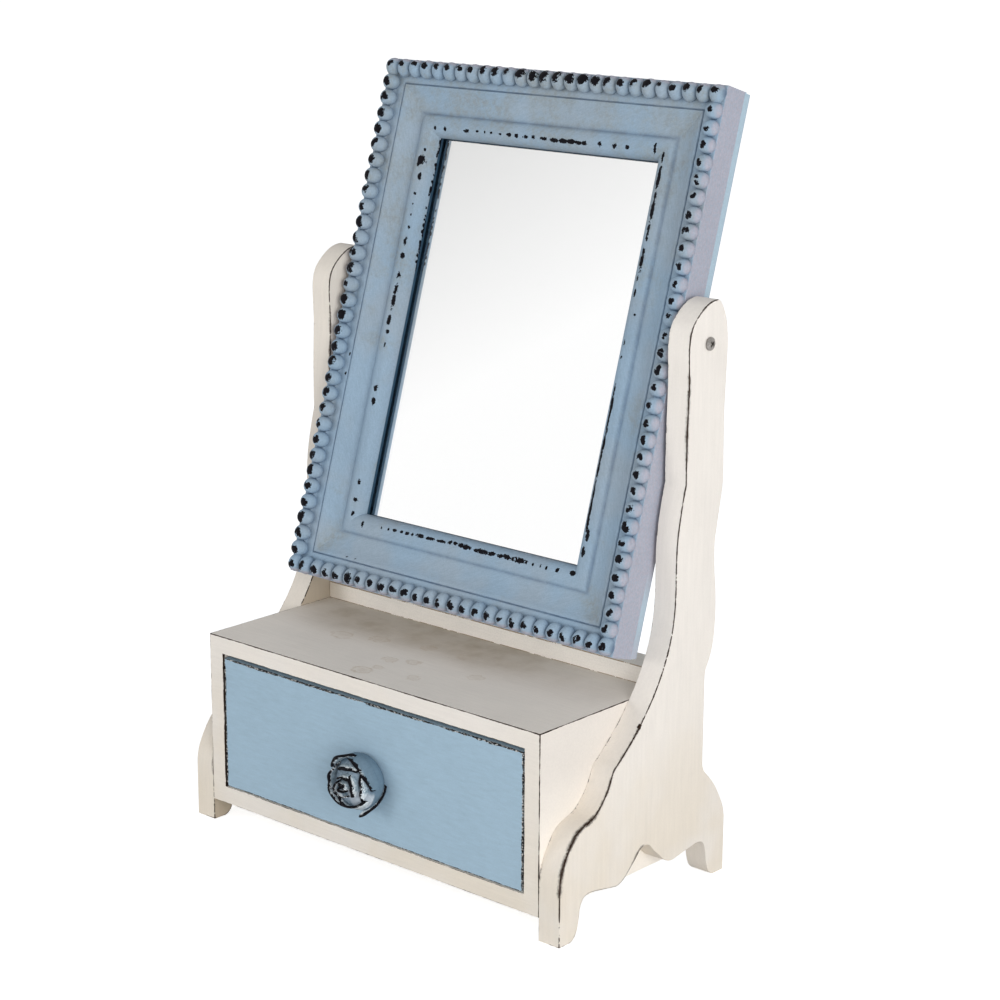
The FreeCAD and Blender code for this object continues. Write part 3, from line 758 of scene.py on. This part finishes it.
def smooth_sides(piece, degrees=35):
    """Smooth shading, with edges sharper than the angle kept crisp."""
    mesh = piece.data
    made = bmesh.new()
    made.from_mesh(mesh)
    bmesh.ops.recalc_face_normals(made, faces=made.faces)
    for face in made.faces:
        face.smooth = True
    for edge in made.edges:
        edge.smooth = len(edge.link_faces) == 2 and edge.calc_face_angle(0) < math.radians(degrees)
    made.to_mesh(mesh)
    made.free()
    return piece


def grid_faces(rows, columns, closed=False):
    """Faces between the neighbours in a grid of points that is numbered row by row."""
    faces = []
    for i in range(rows - 1):
        here, after = i * columns, (i + 1) * columns
        for j in range(columns if closed else columns - 1):
            k = (j + 1) % columns
            faces.append((here + j, here + k, after + k, after + j))
    return faces


def turned_body(profile, sides):
    """Points and faces of a round body, whose profile of (radius, height) starts and ends on the Z axis."""
    foot, *rings, tip = profile
    points = [(0, 0, foot[1])]
    for radius, height in rings:
        for j in range(sides):
            turn = 2 * math.pi * j / sides
            points.append((radius * math.cos(turn), radius * math.sin(turn), height))
    points.append((0, 0, tip[1]))
    faces = []
    last = 1 + (len(rings) - 1) * sides
    for j in range(sides):
        k = (j + 1) % sides
        faces.append((0, 1 + k, 1 + j))
        for low in range(1, last, sides):
            faces.append((low + j, low + k, low + sides + k, low + sides + j))
        faces.append((last + j, last + k, last + sides))
    return points, faces


def arc_points(a, through, b, count):
    """Points along the circle from a through a middle point to b, without the first."""
    ax, ay = a
    bx, by = b
    cx, cy = through
    d = 2 * (ax * (cy - by) + cx * (by - ay) + bx * (ay - cy))
    ux = ((ax**2 + ay**2) * (cy - by) + (cx**2 + cy**2) * (by - ay) + (bx**2 + by**2) * (ay - cy)) / d
    uy = ((ax**2 + ay**2) * (bx - cx) + (cx**2 + cy**2) * (ax - bx) + (bx**2 + by**2) * (cx - ax)) / d
    radius = math.hypot(ax - ux, ay - uy)
    start, middle, end = (math.atan2(y - uy, x - ux) for x, y in (a, through, b))
    turn = (end - start) % (2 * math.pi)
    if (middle - start) % (2 * math.pi) > turn:
        turn -= 2 * math.pi
    angles = (start + turn * k / count for k in range(1, count + 1))
    return [(ux + radius * math.cos(angle), uy + radius * math.sin(angle)) for angle in angles]


# ---- beaded moulding
def moulding_outline():
    """The moulding's section as (inset, height) in millimetres, from its back outer corner to its rebate."""
    points = [(0, 0), (0, 0.9), (0, 1.1), (0, 5), (0, 10), (0, 14.6), (0.4, 15), (2.2, 15), (4.2, 15)]
    points += [(5.8, 14.4)]
    points += arc_points((5.8, 14.4), (6.7, 13.9), (8.0, 13.6), 4)
    points += [(9.2, 13.62), (9.9, 13.62), (10.6, 13.62), (11.5, 13.55), (11.85, 13.1), (12.05, 12.85)]
    points += [(12.25, 13.1), (12.6, 13.45), (13.3, 13.42), (13.9, 13.25)]
    points += arc_points((13.9, 13.25), (17.9, 11.2), (25.4, 10.2), 16)
    points += [(25.7, 10.05), (26.0, 10.3)]
    points += arc_points((26.0, 10.3), (27.8, 11.15), (31.2, 11.4), 12)
    points += arc_points((31.2, 11.4), (35.3, 9.6), (36.9, 5.8), 20)
    points += [(37, 5.4), (37, 4.6), (37, 3.8), (35, 3.8), (33, 3.8), (33, 0), (17, 0)]
    return points


def bump_at(value, centre, half_width):
    """1 at centre, falling smoothly to 0 at half_width away."""
    share = np.clip(1 - np.abs(value - centre) / half_width, 0, 1)
    return share * share * (3 - 2 * share)


def plateau(value, low, high, fade):
    """1 from low to high, with ends of length fade outside them."""
    return np.clip((value - low) / fade + 1, 0, 1) * np.clip((high - value) / fade + 1, 0, 1)


# runs of chips in each rail's paint, along to the rail's right: from, to, inset, spacing, length and width;
# millimetres
chip_runs = {
    "frame_top_rail": [
        (64, 71, 32.8, 5, 1.2, 2), (50, 50, 32.7, 5, 3, 2), (23, 43, 32.5, 5, 1.2, 1),
        (0, 21, 32.5, 5, 2.5, 1.4), (-24, -2, 32.7, 6, 4, 1.6), (-55, -28, 32.6, 8.5, 2.5, 1.8),
        (-70, -70, 31.6, 5, 1.4, 4.6), (-76, -76, 35, 5, 2, 2),
    ],
    "frame_bottom_rail": [
        (-67, -67, 31.8, 5, 1, 3), (-54, -48, 32.3, 4.5, 1.3, 1), (-44, -32, 32.8, 4.5, 2, 1.4),
        (-28, -12, 33, 7, 6, 1.6), (-8, 0, 33.4, 4.5, 3, 1.4), (5, 38, 33.2, 7.5, 7, 2.1),
        (43, 56, 33, 3.8, 1.5, 1.5), (61, 72, 33.4, 10.5, 2.4, 2), (-72, -65, 13.8, 6.5, 1, 0.8),
    ],
    "frame_left_stile": [
        (-90, -90, 32.6, 5, 1.2, 0.9), (-85, -85, 32, 5, 3.1, 3.4), (-82, -82, 29.8, 5, 1.6, 1.5),
        (-76, -76, 32.4, 5, 4, 1.6), (-67, -51, 31.9, 5, 1.8, 1.4), (-44, -26, 31.6, 8, 3.4, 2),
        (-19, -3, 31.3, 7, 6, 2), (4, 10, 31.5, 5, 2, 1.4), (20, 29, 10.6, 8, 2, 1.2),
        (34, 41, 31.4, 7, 3, 2), (83, 98, 32.5, 7.5, 2.5, 2), (-97, -30, 37, 1.7, 1.8, 0.2),
    ],
    "frame_right_stile": [
        (94, 98, 31.8, 4, 3.5, 1.4), (52, 90, 32, 11, 13, 1.6), (35, 47, 32.5, 5.5, 2.5, 1.3),
        (24, 24, 29.6, 5, 1.2, 1), (4, 11, 32.8, 7.5, 2.2, 1.2), (-18, -14, 33, 5, 5, 1.4),
        (-76, -24, 33, 12, 14, 1.6), (-89, -82, 31.8, 6.5, 4, 2.6),
    ],
}
# how each rail's beads are chipped: the chips' outward lean, and their reach at its start, middle and end
bead_chips = {
    "frame_top_rail": (0.30, 0.34, 0.78, 0.44),
    "frame_bottom_rail": (0.06, 0.38, 0.41, 0.44),
    "frame_left_stile": (0.06, 0.54, 0.56, 0.50),
    "frame_right_stile": (-0.08, 0.34, 0.34, 0.38),
}
# the painted shade along the foot of each rail's inner roll: how dark it is, and how broad in millimetres
roll_foot_shade = {
    "frame_top_rail": (0.60, 1.9),
    "frame_bottom_rail": (0.50, 1.6),
    "frame_left_stile": (0.34, 3.4),
    "frame_right_stile": (0.62, 1.9),
}


def chip_wear(along, inset, runs, chance):
    """1 in the middle of each chip, a half at its edge, and 0 as far again outside."""
    wear = np.zeros(along.shape)
    for start, end, deep, spacing, length, width in runs:
        count = 1 + round((end - start) / spacing)
        for k in range(count):
            astray = chance.uniform(-0.2, 0.2) * spacing * (count > 1)
            at = start + (end - start) * k / max(1, count - 1) + astray
            half_length = 0.5 * length * chance.uniform(0.7, 1.25)
            half_width = 0.5 * width * chance.uniform(0.8, 1.2)
            across = inset - deep - chance.uniform(-0.15, 0.15)
            away = np.sqrt(((along - at) / half_length) ** 2 + (across / half_width) ** 2)
            wear = np.maximum(wear, np.clip(1.10 - 0.5 * away, 0, 0.95))
    return wear


def rail_points(half_length, runs, chance, shade_amount, shade_breadth):
    """Points of a mitred length of moulding along X, its outer side down, and what its paint needs."""
    outline = np.array(moulding_outline())
    count = int(round(2 * half_length / rail_step))
    share = np.linspace(-1, 1, count + 1)
    inset, height = outline[:, 0], outline[:, 1]
    along = share[:, None] * (half_length - inset[None, :])
    inset_grid = np.broadcast_to(inset, along.shape)
    other = half_length - np.abs(along)
    # the roll's foot draws in a little where two rails meet; the front runs inwards from the bead seat
    mitre = np.clip(1 - np.abs(other - inset_grid) / mitre_reach, 0, 1) ** 2
    corner = mitre_shift * mitre * plateau(inset_grid, 24.0, 31.0, 2.0)
    front = np.flatnonzero(height > 5.5)[7:]
    eased = np.interp(inset_grid - corner, inset[front], height[front])
    height_grid = np.where(corner > 0, eased, np.broadcast_to(height, along.shape))
    # painted shade: the groove, the beads' foot and the roll's foot are darkened
    recess = bump_at(inset_grid, groove_inset, 0.6) + 0.25 * bump_at(inset_grid, bead_foot_inset, 2.0)
    recess += shade_amount * bump_at(inset_grid, roll_foot_inset, shade_breadth)
    on_side = inset_grid < 0.3
    values = {
        "wear": chip_wear(along, inset_grid, runs, chance) * (height_grid > 5.0),
        "recess": np.clip(recess, 0, 1),
        "smudge": bump_at(other, inset_grid, 13.0) * plateau(inset_grid, 14.0, 24.0, 3.0),
        "side": np.where(on_side & (height_grid < 15.1), 1.0, 0.0),
        "shade": np.where((inset_grid > 32.9) & (height_grid < 5.5), 1.0, 0.0),
        "sky": np.where(on_side & (height_grid < 1.0), 1.0, 0.0),
    }
    return along, inset_grid, height_grid, values


def bead_points(ball, size, reach, lean, chance):
    """One bead's points about its middle, and what its paint needs. Its poles lie along the rail, its second
    axis faces forwards and its third outwards."""
    dome = ball[:, [2, 0, 1]] * size
    dome[:, 1] *= bead_stretch_forwards
    dome[:, 2] *= np.where(dome[:, 2] > 0, 1.0 + bead_stretch_outwards * dome[:, 2] / size, 1.0)
    wear = np.zeros(len(dome))
    for _ in range(chips_per_bead):
        crest = np.array([chance.uniform(-0.34, 0.34), 1.0, -lean + chance.uniform(-0.28, 0.28)])
        crest /= np.linalg.norm(crest)
        away = np.linalg.norm(dome / size - crest, axis=1) / (reach * chance.uniform(0.45, 0.90))
        wear = np.maximum(wear, np.clip(1.06 - 0.5 * away, 0, 0.95))
    # painted shade: each bead is darker low down and where it meets its neighbours
    low = np.clip((0.35 - dome[:, 1] / size) / 0.9, 0, 1)
    squeezed = np.clip((np.abs(dome[:, 0]) / size - 0.74) / 0.26, 0, 1)
    values = {key: np.zeros(len(dome)) for key in ("smudge", "shade", "sky")}
    values["wear"] = wear
    values["recess"] = np.clip(low * 0.6 + squeezed * 0.9, 0, 1)
    values["side"] = np.clip((-dome[:, 2] / size - 0.45) / 0.3, 0, 1)
    return dome, values


def moulding_rail(name, half_length, half_height, turn, bead_count, corner_beads, place, material):
    """One beaded, mitred rail of the frame."""
    chance = random.Random(name)
    along, inset, height, values = rail_points(half_length, chip_runs[name], chance, *roll_foot_shade[name])
    rows, columns = along.shape
    total = rows * columns
    points = [np.stack([along.ravel(), height.ravel(), inset.ravel()], 1)]
    values = {key: [grid.ravel()] for key, grid in values.items()}
    faces = grid_faces(rows, columns, closed=True)
    faces.append(tuple(range(columns)))
    faces.append(tuple(reversed(range(total - columns, total))))
    steps = [math.pi * k / bead_rings for k in range(bead_rings + 1)]
    ball, ball_faces = turned_body([(math.sin(step), -math.cos(step)) for step in steps], bead_sides)
    ball = np.array(ball)
    lean, start_reach, middle_reach, end_reach = bead_chips[name]
    reaches = (end_reach, end_reach * 1.1, middle_reach, start_reach, start_reach)
    row = 2 * (half_length - bead_radius)
    for k in range(bead_count):
        if not corner_beads and k in (0, bead_count - 1):
            continue
        size = bead_radius * chance.uniform(0.97, 1.04)
        at = -row / 2 + row * k / (bead_count - 1) + chance.uniform(-0.12, 0.12)
        reach = np.interp(k / (bead_count - 1), (0, 0.25, 0.45, 0.75, 1), reaches)
        dome, dome_values = bead_points(ball, size, reach, lean, chance)
        points.append(dome + np.array([at, bead_height, bead_radius]))
        for key, data in dome_values.items():
            values[key].append(data)
        faces += [tuple(total + index for index in face) for face in ball_faces]
        total += len(dome)
    points = np.concatenate(points)
    values = {key: np.concatenate(parts) for key, parts in values.items()}
    values["run"] = points * mm
    matrix = np.array(place @ Matrix.Rotation(turn, 4, "Y"))
    upright = np.stack([points[:, 0], moulding_back - points[:, 1], points[:, 2] - half_height], 1) * mm
    placed = upright @ matrix[:3, :3].T + matrix[:3, 3]
    piece = mesh_piece(name + "_moulded", placed, faces, values, material)
    smooth_sides(piece)
    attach(piece, "mirror")
    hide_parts(name)


def build_frame(material):
    place = mirror_place()
    x, z = frame_width / 2, frame_height / 2
    moulding_rail("frame_bottom_rail", x, z, 0.0, beads_across, True, place, material)
    moulding_rail("frame_top_rail", x, z, math.pi, beads_across, True, place, material)
    moulding_rail("frame_right_stile", z, x, -math.pi / 2, beads_upright, False, place, material)
    moulding_rail("frame_left_stile", z, x, math.pi / 2, beads_upright, False, place, material)


def build_silver(material):
    """The silvering, a thin sheet just inside the back of the glass."""
    place = mirror_place()
    upright = [place.inverted() @ vertex.co / mm for vertex in nodes["mirror_glass"].data.vertices]
    low, high = ([pick(corner[axis] for corner in upright) for axis in range(3)] for pick in (min, max))
    xs, zs = ((low[axis] + silver_margin, high[axis] - silver_margin) for axis in (0, 2))
    ys = [high[1] - depth for depth in silver_depths]
    points = [place @ (Vector((x, y, z)) * mm) for x in xs for y in ys for z in zs]
    faces = [(0, 1, 3, 2), (4, 6, 7, 5), (0, 4, 5, 1), (2, 3, 7, 6), (0, 2, 6, 4), (1, 5, 7, 3)]
    piece = mesh_piece("silvering", points, faces, {}, material)
    smooth_sides(piece)
    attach(piece, "mirror")


# ---- rose knob
# each petal's direction, half width, belly, rim and height, its droop at the sides, how straight its rim is,
# how far it turns outwards and how much its rim slants down to the right; degrees and millimetres
rose_petals = [
    (50, 50, 14.3, 13.4, 12.4, 0.10, 0.7, 0.3, 0.0),
    (122, 36, 13.4, 15.0, 12.4, 0.24, 0.2, 1.0, 0.0),
    (327, 37, 12.8, 14.6, 7.4, 0.03, 0.0, 0.8, 4.6),
    (208, 46, 13.9, 14.0, 13.0, 0.34, 0.0, 0.6, 0.0),
    (172, 38, 13.0, 12.2, 14.6, 0.26, 0.0, 0.3, 0.0),
    (272, 56, 12.3, 10.5, 14.1, 0.20, 0.0, 0.4, 0.0),
    (98, 44, 10.6, 9.6, 15.4, 0.20, 0.3, 0.4, 0.0),
    (3, 46, 11.0, 9.9, 13.9, 0.18, 0.5, 0.3, 0.0),
    (12, 60, 6.7, 6.0, 16.8, 0.14, 0.3, 0.2, 0.0),
    (98, 50, 6.1, 5.4, 18.2, 0.14, 0.0, 0.3, 0.0),
    (215, 68, 5.5, 4.7, 18.8, 0.14, 0.0, 0.2, 0.0),
    (60, 76, 3.2, 2.5, 19.4, 0.08, 0.0, 0.0, 0.0),
    (235, 60, 2.8, 2.0, 19.0, 0.08, 0.0, 0.0, 0.0),
]
# the rounded body that the petals grow from: radius and rise; millimetres
heart_profile = [
    (0.0, 0.0), (12.0, 0.0), (13.2, 1.2), (14.1, 3.2), (14.2, 5.6), (13.2, 8.0), (10.6, 10.4), (7.0, 12.2),
    (3.4, 13.4), (0.0, 13.9),
]


def knob_piece(name, points, faces, wear, recess, material):
    """A piece from points in millimetres round the knob's middle."""
    placed = [(Vector(point) + knob_centre) * mm for point in points]
    return mesh_piece(name, placed, faces, {"wear": wear, "recess": recess}, material)


def petal_piece(index, form, material):
    """One cupped petal as a thickened sheet."""
    turn, spread, belly, rim, height, droop, straight, flare, slant = form
    chance = random.Random(index)
    phase = chance.uniform(0, 6.28)
    rubbed = chance.uniform(0.75, 1.0)
    root = petal_root * belly
    half_chord = math.radians(spread) * 0.9
    points, wear, recess = [], [], []
    for i in range(petal_up + 1):
        v = i / petal_up
        for j in range(petal_across + 1):
            u = 2 * j / petal_across - 1
            angle = math.radians(turn + spread * u)
            chord = rim * math.cos(half_chord) / max(0.3, math.cos(half_chord * u))
            lip = rim + (chord - rim) * straight
            bulge = 4 * v * (1 - v)
            radius = root + (lip - root) * v + bulge * (belly - (root + lip) / 2)
            radius += flare * max(0.0, (v - 0.75) / 0.25) ** 2
            radius += petal_ripple * v * math.sin(5 * u + phase)
            ripple = petal_ripple * math.sin(7 * u + 2 * phase)
            top = height * (1 - droop * abs(u) ** 2.4) - slant * u + ripple
            rise = 0.5 + (top - 0.5) * v
            points.append((radius * math.cos(angle), -rise, radius * math.sin(angle)))
            sides = (abs(u) - rubbed_sides_from) / (1 - rubbed_sides_from) * v
            edge = max(0.0, (v - rubbed_from) / (1 - rubbed_from), sides)
            wear.append(min(1.0, edge) * chance.uniform(0.8, 1.0) * rubbed)
            # painted shade: each petal is darker towards its root
            recess.append(max(0.0, 1 - 1.8 * v) * 0.35)
    piece = knob_piece("petal", points, grid_faces(petal_up + 1, petal_across + 1), wear, recess, material)
    smooth_sides(piece, 80)
    thicken = piece.modifiers.new("thickness", "SOLIDIFY")
    thicken.thickness = petal_thickness * mm * (1.0 if height < 16 else 0.75)
    thicken.offset = -1.0
    round_off = piece.modifiers.new("round", "SUBSURF")
    round_off.levels = round_off.render_levels = 1
    return piece


def heart_piece(material):
    """The heart of the rose, painted darker towards its tip, as shade among the inner petals."""
    points, faces = turned_body(heart_profile, heart_sides)
    recess = [0.10 + 0.5 * min(1.0, max(0.0, (rise - 6.0) / 4.0)) for x, z, rise in points]
    points = [(x, -rise, z) for x, z, rise in points]
    piece = knob_piece("heart", points, faces, [0.0] * len(points), recess, material)
    return smooth_sides(piece, 50)


def apply_modifiers(piece):
    graph = bpy.context.evaluated_depsgraph_get()
    made = bpy.data.meshes.new_from_object(piece.evaluated_get(graph))
    piece.modifiers.clear()
    piece.data = made
    return piece


def build_rose(material):
    rose = heart_piece(material)
    petals = [apply_modifiers(petal_piece(index, form, material)) for index, form in enumerate(rose_petals)]
    bpy.ops.object.select_all(action="DESELECT")
    for part in [rose, *petals]:
        part.select_set(True)
    bpy.context.view_layer.objects.active = rose
    bpy.ops.object.join()
    rose.name = rose.data.name = "rose"
    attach(rose, "drawer")
    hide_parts("rose_knob")


# ---- finishes on the CAD pieces
def dress(node, *materials, edge=0.0):
    """Gives a CAD piece its materials. An edge, in millimetres, is rounded and takes the last of them."""
    piece = nodes[node]
    piece.data.materials.clear()
    for material in materials:
        piece.data.materials.append(material)
    weld = piece.modifiers.new("weld", "WELD")
    weld.merge_threshold = 0.002 * mm
    if edge:
        flat = piece.modifiers.new("flat faces", "DECIMATE")
        flat.decimate_type = "DISSOLVE"
        flat.angle_limit = math.radians(0.6)
        bevel = piece.modifiers.new("edges", "BEVEL")
        bevel.width = edge * mm
        bevel.segments = 2
        bevel.limit_method = "ANGLE"
        bevel.angle_limit = math.radians(40)
        bevel.use_clamp_overlap = False
        bevel.material = len(materials) - 1
        normals = piece.modifiers.new("normals", "WEIGHTED_NORMAL")
        normals.keep_sharp = False


def cross_recess(node, places, axis, radius, depth):
    """Cuts a cross recess into each screw head of a node, with a hidden cutter."""
    points, faces = [], []
    axis = Vector(axis).normalized()
    across = axis.orthogonal().normalized()
    other = axis.cross(across)
    for place in places:
        for first, second in ((across, other), (other, across)):
            start = len(points)
            for level, share in ((0.4 * depth, 1.0), (-depth, 0.5)):
                for a, b in ((-1, -1), (1, -1), (1, 1), (-1, 1)):
                    long = first * (a * radius * 0.60 * share)
                    wide = second * (b * radius * 0.15)
                    points.append((Vector(place) + long + wide + axis * level) * mm)
            quads = [(0, 1, 2, 3), (7, 6, 5, 4), (0, 4, 5, 1), (1, 5, 6, 2), (2, 6, 7, 3), (3, 7, 4, 0)]
            faces += [tuple(start + index for index in quad) for quad in quads]
    cutter = mesh_piece(node + "_recess", points, faces, {}, None)
    cutter.hide_render = cutter.hide_viewport = True
    smooth_sides(cutter)
    cut = nodes[node].modifiers.new("recess", "BOOLEAN")
    cut.object = cutter
    cut.operation = "DIFFERENCE"
    cut.solver = "EXACT"
    cut.use_self = True


def recess_screws():
    """Cross recesses in the screw heads that show: the two pivots' and the six in the back board."""
    pivot = pivot_point() / mm
    for node, side in (("left_pivot_screw", 0), ("right_pivot_screw", 1)):
        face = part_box(node)[side][0] / mm
        cross_recess(node, [(face, pivot.y, pivot.z)], (2 * side - 1, 0, 0), *pivot_head)
    place = mirror_place()
    back = place.to_3x3() @ Vector((0, 1, 0))
    from_edge = (moulding_width - rebate_width) / 2
    x, z = frame_width / 2 - from_edge, frame_height / 2 - from_edge
    heads = [(place @ (Vector((a, board_face, b)) * mm)) / mm for a in (-x, x) for b in (-z, 0, z)]
    cross_recess("back_board_screws", heads, back, *back_board_head)


# ---- room
def soft_light(name, place, size, power):
    lamp = bpy.data.lights.new(name, "AREA")
    lamp.shape = "RECTANGLE"
    lamp.size = lamp.size_y = size
    lamp.energy = power
    made = bpy.data.objects.new(name, lamp)
    made.location = place
    made.rotation_mode = "QUATERNION"
    made.rotation_quaternion = (Vector(lit_point) - Vector(place)).to_track_quat("-Z", "Y")
    made.visible_glossy = False
    made.visible_transmission = False
    bpy.context.scene.collection.objects.link(made)


def white_where_seen(tree):
    """1 for rays that see the backdrop straight, in a reflection or through glass."""
    path = tree.node("ShaderNodeLightPath").outputs
    return tree.most(path["Is Camera Ray"], path["Is Glossy Ray"], path["Is Transmission Ray"])


def build_world():
    world = bpy.data.worlds.new("studio")
    bpy.context.scene.world = world
    world.use_nodes = True
    world.node_tree.nodes.clear()
    tree = Tree(world.node_tree)
    rise = tree.axes(tree.node("ShaderNodeTexCoord").outputs["Generated"])["Z"]
    level = tree.ramp(rise, 0.0, 0.9, sky_low_share * sky_level, sky_high_share * sky_level, smooth=False)
    soft = tree.node("ShaderNodeBackground", {"Color": sky_tint, "Strength": level}).outputs[0]
    plain = tree.node("ShaderNodeBackground", {"Color": white, "Strength": 1.0}).outputs[0]
    shown = tree.node("ShaderNodeMixShader", (white_where_seen(tree), soft, plain)).outputs[0]
    tree.put(shown, tree.node("ShaderNodeOutputWorld").inputs[0])


def build_floor():
    r = floor_reach
    corners = [(-r, -r, 0), (r, -r, 0), (r, r, 0), (-r, r, 0)]
    made, tree, shader = new_material(
        "floor", Base_Color=floor_pale, Roughness=0.9, Specular_IOR_Level=0.0, Emission_Color=white
    )
    tree.put(tree.times(white_where_seen(tree), floor_glow), shader["Emission Strength"])
    mesh_piece("floor", corners, [(0, 1, 2, 3)], {}, made)


def build_camera():
    """The eye stands to the right of the drawer, a little above it."""
    level = math.cos(eye_above)
    back = Vector((math.sin(eye_around) * level, -math.cos(eye_around) * level, math.sin(eye_above)))
    right = Vector((math.cos(eye_around), math.sin(eye_around), 0))
    up = back.cross(right)
    across = math.cos(eye_roll) * right + math.sin(eye_roll) * up
    upward = math.cos(eye_roll) * up - math.sin(eye_roll) * right
    camera = bpy.data.objects.new("camera", bpy.data.cameras.new("camera"))
    camera.data.lens = eye_lens
    camera.data.sensor_width = 36.0
    turn = Matrix((across, upward, back)).transposed()
    camera.matrix_world = Matrix.Translation(eye_target + back * eye_distance) @ turn.to_4x4()
    bpy.context.scene.collection.objects.link(camera)
    bpy.context.scene.camera = camera


bpy.context.scene.view_settings.view_transform = "Standard"
build_camera()
build_world()
build_floor()
soft_light("key", **key_lamp)
soft_light("right", **right_lamp)

build_frame(moulding_material())
build_silver(silver_material())
build_rose(knob_material())
recess_screws()

lying = (60.0, 900.0, 900.0)
upright = (500.0, 500.0, 40.0)
cream_board = cream_material("cream board", lying, box_cream, box_edges)
cream_top = cream_material("cream top", lying, stains_and_shade, box_edges)
bar = {"beneath": rubbed_wood, "grit": 0.22}
bar_reach = same_all_over(1.4 * mm)
cream_bar = cream_material("cream bar", lying, bar_cream, same_all_over(0.46), bar_reach, **bar)
cream_bar_edge = cream_material("cream bar edge", lying, bar_cream, same_all_over(0.60), **bar)
panel = {"nicks": panel_nick_wear, "ragged": 2.0}
cream_panel = cream_material("cream panel", upright, panel_cream, panel_wear, panel_reach, **panel)
cream_panel_edge = cream_material("cream panel edge", upright, panel_cream, panel_wear, **panel)
front_brush = (120.0, 700.0, 700.0)
front_colour = same_all_over(drawer_blue)
blue_front = blue_material("drawer blue", front_brush, front_colour, drawer_edges, flecked_undercoat)
back_blue = blue_material("back board blue", lying, back_colour, back_wear, same_all_over(undercoat))
pale_wood = wood_material("drawer wood", drawer_wood_light, drawer_wood_dark, (300.0, 12.0, 300.0))
dowel_wood = wood_material("dowel wood", dowel_light, dowel_dark, (300.0, 300.0, 20.0))
steel = steel_material()

soft_edge = 0.35
for side in ("left", "right"):
    dress(f"{side}_side_panel", cream_panel, cream_panel_edge, edge=soft_edge)
    dress(f"drawer_{side}_side", pale_wood, edge=soft_edge)
dress("drawer_back", pale_wood, edge=soft_edge)
dress("rear_crossbar", cream_bar, cream_bar_edge, edge=soft_edge)
sharp_edged = [
    (cream_board, ["box_left_side", "box_right_side", "box_bottom", "box_back"]),
    (cream_top, ["box_top"]),
    (blue_front, ["drawer_front"]),
    (back_blue, ["back_board"]),
    (pale_wood, ["drawer_bottom"]),
    (card_material(), ["packing_card"]),
    (glass_material(), ["mirror_glass"]),
    (dowel_wood, ["box_corner_dowels", "drawer_back_pins"]),
    (steel, ["left_pivot_screw", "right_pivot_screw", "left_pivot_washer", "right_pivot_washer"]),
    (steel, ["crossbar_screws", "panel_fixing_screws", "back_board_screws", "knob_screw", "knob_washer"]),
]
for material, pieces in sharp_edged:
    for piece in pieces:
        dress(piece, material)
